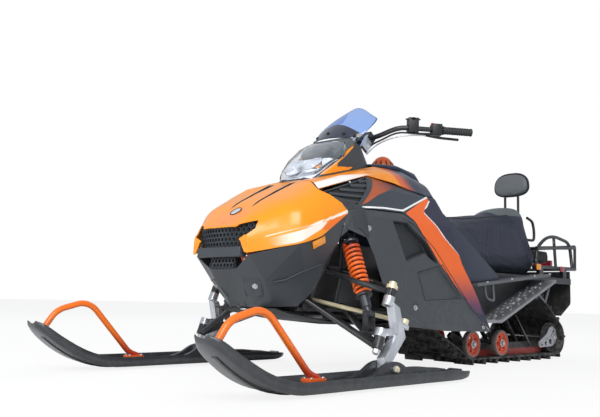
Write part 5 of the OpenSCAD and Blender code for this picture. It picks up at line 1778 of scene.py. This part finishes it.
            bored(side, turned("casting_hole", [(r / 1000, -0.02), (r / 1000, 0.02)], at(x, 175, z), ACROSS, 24))
        self.pair(side, CAST, "rear_wheels")
        web = tube("casting_web", [at(x, 180, z) for x, z in ((-1890, 152), (-1846, 118), (-1800, 106), (-1724, 80))],
                   0.0045, 4)
        self.pair(web, CAST, "rear_wheels")
        for k, (x, z) in enumerate(((-1762, 98), (-1810, 116), (-1893, 112), (-1848, 160), (-1716, 74))):
            self.pair(bolt(f"casting_bolt_{k}", at(x, 179, z), ACROSS, 0.0075), STEEL, "dampers")
        link = plate("skid_link", [at(x, 150, z) for x, z in ((-1500, 238), (-1512, 232), (-1668, 78), (-1652, 72))],
                     Vector((0, 0.006, 0)), 0.0015)
        self.pair(link, SATIN_BLACK, "skid_arms")


@dataclass
class FrontEnd(Assembly):
    """Arms, dampers, springs, spindles, rods and skis."""

    # Ends of a spring's axis, its radius, wire and number of turns
    spring_foot: tuple = (-30, 400, 236)
    spring_head: tuple = (-72, 262, 522)
    coil: float = 27.0
    wire: float = 6.0
    coils: int = 11
    # Spindle's lean in degrees and the middle of its two ball joints
    lean: float = 21.0
    joint: tuple = (10, 485, 170)
    rod_outer: tuple = (-105, 500, 213)
    rod_inner: tuple = (-12.9, 22, 300.2)
    ski_middle: float = 500.0
    # Sides of a ski's cheeks beside its bolt
    cheek: tuple[float, float] = (22.5, 40.5)
    # Place along, half width and height of each section of a ski
    plan: tuple = ((-426, 62, 16), (-405, 76, 24), (-340, 88, 34), (-150, 90, 38), (240, 90, 38), (470, 90, 38),
                   (600, 84, 38), (700, 74, 37), (760, 56, 32), (784, 34, 22))

    def build(self) -> None:
        """Builds the front end."""
        self.refined("upper_arms", SATIN_BLACK, 0.0, 50)
        self.refined("lower_arms", SATIN_BLACK, 0.0, 50)
        self.refined("dampers", DAMPER_GREY, 0.001, 40)
        self.springs()
        sides = (("left", 1, Body.SPINDLE_L, Body.ROD_L, Body.SKI_L),
                 ("right", -1, Body.SPINDLE_R, Body.ROD_R, Body.SKI_R))
        for name, s, spindle, rod, ski in sides:
            self.refined("spindle_" + name, FORGED, 0.0035, 40)
            self.refined("tie_rod_" + name, GILT, 0.001, 40)
            self.knuckle(name, s, spindle, rod)
            self.ski_parts(name, s, ski)

    def springs(self) -> None:
        """Round coil springs with their seats, with painted shade darkening their tops."""
        foot, head = Vector(self.spring_foot), Vector(self.spring_head)
        axis = (head - foot).normalized()
        length = (head - foot).length
        turn = axis.to_track_quat("Z", "Y").to_matrix()
        low, high = 78 + 5.9, length - 32 - 5.9
        path, steps = [], 24 * self.coils
        for k in range(steps + 1):
            a = math.tau * k / 24
            wind = Vector((self.coil * math.cos(a), self.coil * math.sin(a), low + (high - low) * k / steps))
            path.append(at(*(foot + turn @ wind)))
        spring = tube("spring", path, self.wire / 1000, 4)
        # Painted shade: darker red towards the spring's top.
        marked(spring, "crown", lambda p: p.z - 470)
        self.pair(spring, SPRING_PAINT, "coil_springs", replaces=["coil_springs"])
        boot = turned("damper_boot", [(0.0185, 0.09), (0.0195, 0.092), (0.0195, 0.135), (0.0185, 0.137)], at(*foot),
                      Vector(axis), 24)
        self.pair(boot, BLACK_PLASTIC, "dampers")

    def knuckle(self, name: str, s: int, spindle: Body, rod: Body) -> None:
        """Bolts, nuts and sleeves at the spindle.

        Args:
            name: Side of the spindle.
            s: Sign of that side.
            spindle: Body of the spindle.
            rod: Body of the tie rod.
        """
        king = Vector((-math.sin(math.radians(self.lean)), 0, math.cos(math.radians(self.lean))))
        profile = [(0.0118, 0.0), (0.0118, 0.008), (0.0098, 0.01)]
        head = turned(f"ski_bolt_{name}", profile, at(0, s * 546, 58), Vector((0, s, 0)), 6)
        self.done(head, GILT, f"tie_rod_{name}", spindle)
        x, y, z = self.joint
        middle = at(x, s * y, z)
        profile = [(0.0205, -0.016), (0.0205, -0.002), (0.0145, 0.0), (0.0145, 0.009), (0.01, 0.012)]
        cap = turned(f"ball_cap_{name}", profile, middle + king * 0.183, king, 12)
        self.done(cap, GILT, f"tie_rod_{name}", Body.CHASSIS)
        profile = [(0.011, 0.0), (0.013, 0.002), (0.013, 0.014), (0.009, 0.02)]
        nut = turned(f"lower_nut_{name}", profile, middle - king * 0.05, -king, 6)
        self.done(nut, STEEL, "dampers", Body.CHASSIS)
        outer, inner = (Vector((x, s * y, z)) for x, y, z in (self.rod_outer, self.rod_inner))
        run = (inner - outer).normalized()
        profile = [(0.0105, 0.0), (0.0115, 0.0015), (0.0115, 0.012), (0.0105, 0.0135)]
        for k, d in enumerate((34, 400)):
            sleeve = turned(f"rod_nut_{name}_{k}", profile, at(*(outer + run * d)), run, 6)
            self.done(sleeve, GILT, f"tie_rod_{name}", rod)

    @staticmethod
    def sole(x: float) -> float:
        """Height of the sole, flat with its tip and tail curving up.

        Args:
            x: Place along the ski in millimetres.

        Returns:
            Height in millimetres.
        """
        return 0.00137 * (x - 450) ** 2 if x > 450 else 0.0018 * (x + 350) ** 2 if x < -350 else 0.0

    def ski_shell(self, name: str, s: int, ski: Body) -> None:
        """Boat-shaped ski: sole, side walls, middle rib, keel, cheeks and tip block.

        Args:
            name: Side of the ski.
            s: Sign of that side.
            ski: Body of the ski.
        """
        y = s * self.ski_middle
        rings = []
        for x, w, h in (p for row in smooth_rows([[Vector(q)] for q in self.plan], 5) for p in row):
            z, rib = self.sole(x) + 8, 12.2 if abs(x) < 82 or x > 660 else 21.0
            half = [(w - 15, 0), (w - 4, 5), (w, 17), (w - 1.5, h - 2), (w - 4, h), (w - 7, h - 2), (w - 11, 17),
                    (w - 22, 12.4), (min(31, w - 24), 12), (min(27, w - 28), rib)]
            rings.append([at(x, y + u, z + v) for u, v in half] + [at(x, y - u, z + v) for u, v in reversed(half)])
        shell = loft("ski_shell_" + name, rings)
        self.done(smooth(shell, 50), SKI_PLASTIC, "ski_" + name, ski, ["ski_" + name])
        keel = [at(x, y - 12, self.sole(x) + 3) for x in range(-400, 741, 30)]
        keel += [at(x, y - 12, self.sole(x) + 9) for x in range(740, -401, -30)]
        self.done(plate("ski_keel_" + name, keel, Vector((0, 0.024, 0)), 0.001), SKI_PLASTIC, "ski_" + name, ski)
        hump = rounded([(-170, 0, 21), (-96, 0, 40), (-36, 0, 83), (36, 0, 83), (100, 0, 44), (230, 0, 21)], 40, 5)
        for k, side in enumerate((-1, 1)):
            low = self.cheek[0] if side > 0 else -self.cheek[1]
            wall = Vector((0, (self.cheek[1] - self.cheek[0]) / 1000, 0))
            cheek = plate(f"ski_cheek_{name}_{k}", [at(p.x, y + low, p.z) for p in hump], wall, 0.002)
            bored(cheek, turned("cheek_hole", [(0.0086, -0.1), (0.0086, 0.1)], at(0, y, 58), ACROSS, 24))
            self.done(cheek, SKI_PLASTIC, "ski_" + name, ski)
        outline = ((668, 84), (690, 128), (712, 150), (744, 158), (768, 160), (742, 138), (704, 108))
        nose = plate("ski_nose_" + name, [at(x, y - 26, z) for x, z in outline], Vector((0, 0.052, 0)), 0.005)
        self.done(nose, SKI_PLASTIC, "ski_" + name, ski)

    def ski_parts(self, name: str, s: int, ski: Body) -> None:
        """Loop, runner, ribs and bolts of one ski; the loop has painted shade towards its foot.

        Args:
            name: Side of the ski.
            s: Sign of that side.
            ski: Body of the ski.
        """
        y = s * self.ski_middle
        self.ski_shell(name, s, ski)
        path = rounded([(332, y, 44), (372, y, 58), (540, y, 236), (585, y, 250), (690, y, 221), (738, y, 152)], 34, 8)
        loop = tube(f"loop_{name}", [at(*p) for p in path], 0.0115, 6)
        # Painted shade: darker red towards the loop's foot.
        marked(loop, "foot", lambda p: 105 - p.z)
        self.done(loop, LOOP_PLASTIC, f"ski_loop_{name}", ski, [f"ski_loop_{name}"])
        foot = block(f"loop_foot_{name}", at(312, y - 22, 31), at(384, y + 22, 46), 0.004)
        self.done(foot, LOOP_PLASTIC, f"ski_loop_{name}", ski)
        runner = tube(f"runner_{name}", [at(x, y, 3.8) for x in range(-330, 440, 30)], 0.0036, 3)
        self.done(runner, STEEL, "dampers", ski)
        ribs = [block("rib", at(x, y - 66, 19.6), at(x + 5, y + 66, 26), 0.0012) for x in range(-360, -87, 34)]
        self.done(joined(f"ski_ribs_{name}", ribs), SKI_PLASTIC, f"ski_{name}", ski)
        bolts = [bolt("b", at(x, y + t, 46.2), UP, 0.0045) for x in (322, 374) for t in (-14, 14)]
        self.done(joined(f"loop_bolts_{name}", bolts), STEEL, "dampers", ski)


@dataclass
class Steering(Assembly):
    """Post, handlebar, grips, lever and switches."""

    body: Body = Body.STEERING
    # Ends of the bar's straight part on the left and the post's lean in degrees
    start: tuple = (-505, 160, 1036)
    end: tuple = (-757, 361, 1028)
    rake: float = 37.6
    loom: tuple = ((-628, 262, 1014), (-560, 205, 1012), (-508, 150, 1012), (-478, 90, 986), (-462, 40, 962),
                   (-450, 20, 930))
    hose: tuple = ((-600, 232, 1006), (-540, 188, 1002), (-492, 128, 988), (-466, 60, 958), (-448, 26, 922))

    def on_bar(self, dist: float) -> Vector:
        """Point along the bar's straight end, in millimetres."""
        a, b = Vector(self.start), Vector(self.end)
        return a + (b - a).normalized() * dist

    def build(self) -> None:
        """Builds the controls."""
        self.refined("steering_post", SATIN_BLACK, 0.001, 40)
        self.refined("handlebar", SATIN_BLACK, 0.0, 45)
        self.grips()
        self.refined("brake_lever", BLACK_PLASTIC, 0.003, 40)
        self.refined("switch_pods", BLACK_PLASTIC, 0.005, 40)
        self.clamps()
        self.details()

    def grips(self) -> None:
        """Ribbed rubber grips."""
        a, b = Vector(self.start), Vector(self.end)
        axis = (b - a).normalized()
        foot = self.on_bar((b - a).length - 128)
        profile = [(0.0135, 0.0), (0.019, 0.0), (0.02, 0.003), (0.019, 0.006), (0.0155, 0.008)]
        for k in range(10):
            h = 0.01 + 0.0108 * k
            profile += [(0.0155, h), (0.0168, h + 0.002), (0.0168, h + 0.0065), (0.0155, h + 0.0085)]
        profile += [(0.0158, 0.122), (0.017, 0.124), (0.017, 0.131), (0.013, 0.133)]
        self.pair(turned("grip", profile, at(*foot), axis, 24), GRIP_RUBBER, "grips", replaces=["grips"])

    def clamps(self) -> None:
        """Silver riser clamps and their bolts."""
        c, s = math.cos(math.radians(self.rake)), math.sin(math.radians(self.rake))
        axis, side = Vector((-s, 0, c)), Vector((c, 0, s))
        centre = at(25, 0, 365) + axis * (994 - 365) / c / 1000
        for k, y in enumerate((-34, 34)):
            outline = []
            for u, v in ((-20, -66), (20, -66), (24, -12), (20, 17), (-20, 17), (-24, -12)):
                outline.append(centre + side * u / 1000 + axis * v / 1000 + Vector((0, (y - 9) / 1000, 0)))
            riser = plate(f"riser_{k}", outline, Vector((0, 0.018, 0)), 0.003)
            self.done(riser, FORGED, "spindle_left")
            for j, u in enumerate((-14, 14)):
                place = centre + side * u / 1000 + axis * 0.017 + Vector((0, y / 1000, 0))
                self.done(bolt(f"riser_bolt_{k}_{j}", place, axis, 0.0045), STEEL, "dampers")

    def details(self) -> None:
        """Reservoir lid, buttons and the loom along the bar."""
        p = self.on_bar(62)
        lid = block("reservoir_lid", at(p.x - 27, p.y - 23, p.z + 37), at(p.x + 23, p.y + 23, p.z + 43), 0.002)
        self.done(lid, BLACK_PLASTIC, "brake_lever")
        q = self.on_bar(150)
        for s, side in SIDES:
            button = turned("button_" + side, [(0.007, 0.0), (0.007, 0.006), (0.005, 0.008)],
                            at(q.x, s * q.y, q.z + 22), UP, 16)
            self.done(button, LOOP_PLASTIC if s > 0 else WHEEL_RED, "switch_pods")
        self.pair(tube("bar_loom", self.route(self.loom), 0.004, 4), SEAM, "handlebar")
        self.done(tube("bar_hose", self.route(self.hose), 0.003, 4), FORGED, "spindle_left")

    @staticmethod
    def route(corners: Sequence[Point]) -> list[Vector]:
        """Points of a smooth line in metres through corners in millimetres."""
        return [at(*q) for row in smooth_rows([[Vector(c)] for c in corners], 6) for q in row]



class Studio:
    """Pale floor, soft lights and the camera."""

    # Name, place, aim, size and power of each lamp
    lamps = (("key", (4.5, 4.5, 5.0), (0.3, 0, 0.5), 4.0, 330), ("fill", (5.5, -3.5, 3.5), (0.3, 0, 0.5), 4.0, 120),
             ("rim", (-3.5, -4.5, 5.0), (-0.5, 0, 0.6), 3.0, 90), ("front", (3.8, 1.2, 0.9), (0.9, 0, 0.4), 2.0, 22))

    def build(self) -> None:
        """Sets up the scene around the vehicle."""
        bpy.context.scene.view_settings.view_transform = "Standard"
        self.floor()
        self.world()
        for name, place, aim, size, power in self.lamps:
            take()
            bpy.ops.object.light_add(type="AREA", location=place)
            lamp = made(name)
            lamp.data.size, lamp.data.energy = size, power
            lamp.visible_camera = lamp.visible_transmission = False
            lamp.visible_glossy = name not in ("rim", "fill")
            lamp.rotation_euler = (Vector(aim) - Vector(place)).to_track_quat("-Z", "Y").to_euler()
        self.camera()

    def floor(self) -> None:
        """A wide pale floor."""
        take()
        bpy.ops.mesh.primitive_plane_add(size=60, location=(0, 0, -0.0005))
        floor = made("floor")
        mat = bpy.data.materials.new("pale_floor")
        mat.use_nodes = True
        mat.node_tree.nodes.clear()
        b = Bench(mat.node_tree)
        diffuse = b.add("BsdfDiffuse", {"Color": (0.86, 0.86, 0.86, 1)}).outputs[0]
        white = b.add("Emission", {"Color": (1, 1, 1, 1), "Strength": 1.0}).outputs[0]
        seen = b.math("MULTIPLY", b.add("LightPath").outputs["Is Camera Ray"], 0.85)
        both = b.add("MixShader", {0: seen, 1: diffuse, 2: white}).outputs[0]
        out = b.add("OutputMaterial")
        b.tree.links.new(both, out.inputs[0])
        floor.data.materials.append(mat)

    def world(self) -> None:
        """White surroundings for what the camera sees, and softer light for the vehicle."""
        world = bpy.data.worlds.new("studio")
        bpy.context.scene.world = world
        world.use_nodes = True
        world.node_tree.nodes.clear()
        b = Bench(world.node_tree)
        path = b.add("LightPath")
        seen = b.math("MAXIMUM", path.outputs["Is Camera Ray"], path.outputs["Is Transmission Ray"])
        soft = b.add("Background", {"Color": (0.9, 0.94, 1.0, 1), "Strength": 0.55}).outputs[0]
        plain = b.add("Background", {"Color": (1, 1, 1, 1), "Strength": 1.0}).outputs[0]
        both = b.add("MixShader", {0: seen, 1: soft, 2: plain}).outputs[0]
        out = b.add("OutputWorld")
        b.tree.links.new(both, out.inputs[0])

    def camera(self) -> None:
        """Camera low in front of the left ski."""
        yaw, pitch, roll = math.radians(225.1), math.radians(7.0), math.radians(1.47)
        ahead = Vector((math.cos(pitch) * math.cos(yaw), math.cos(pitch) * math.sin(yaw), math.sin(pitch)))
        right = Vector((math.sin(yaw), -math.cos(yaw), 0))
        up = right.cross(ahead)
        r2 = right * math.cos(roll) + up * math.sin(roll)
        u2 = -right * math.sin(roll) + up * math.cos(roll)
        take()
        bpy.ops.object.camera_add(location=(2.025 + SHIFT / 1000, 2.104, 0.281))
        camera = made("camera")
        camera.rotation_euler = Matrix((r2, u2, -ahead)).transposed().to_euler()
        camera.data.sensor_width, camera.data.lens = 36, 744 * 36 / 600
        bpy.context.scene.camera = camera


def main() -> None:
    """Builds the studio and every assembly in order."""
    logging.basicConfig(level=logging.INFO, format="%(message)s")
    Studio().build()
    for assembly in (Hood(), Nose(), Headlight(), BodySides(), Seating(), Rack(), Track(), FrontEnd(), Steering()):
        log.info("building %s", type(assembly).__name__)
        assembly.build()


if __name__ == "__main__":
    main()
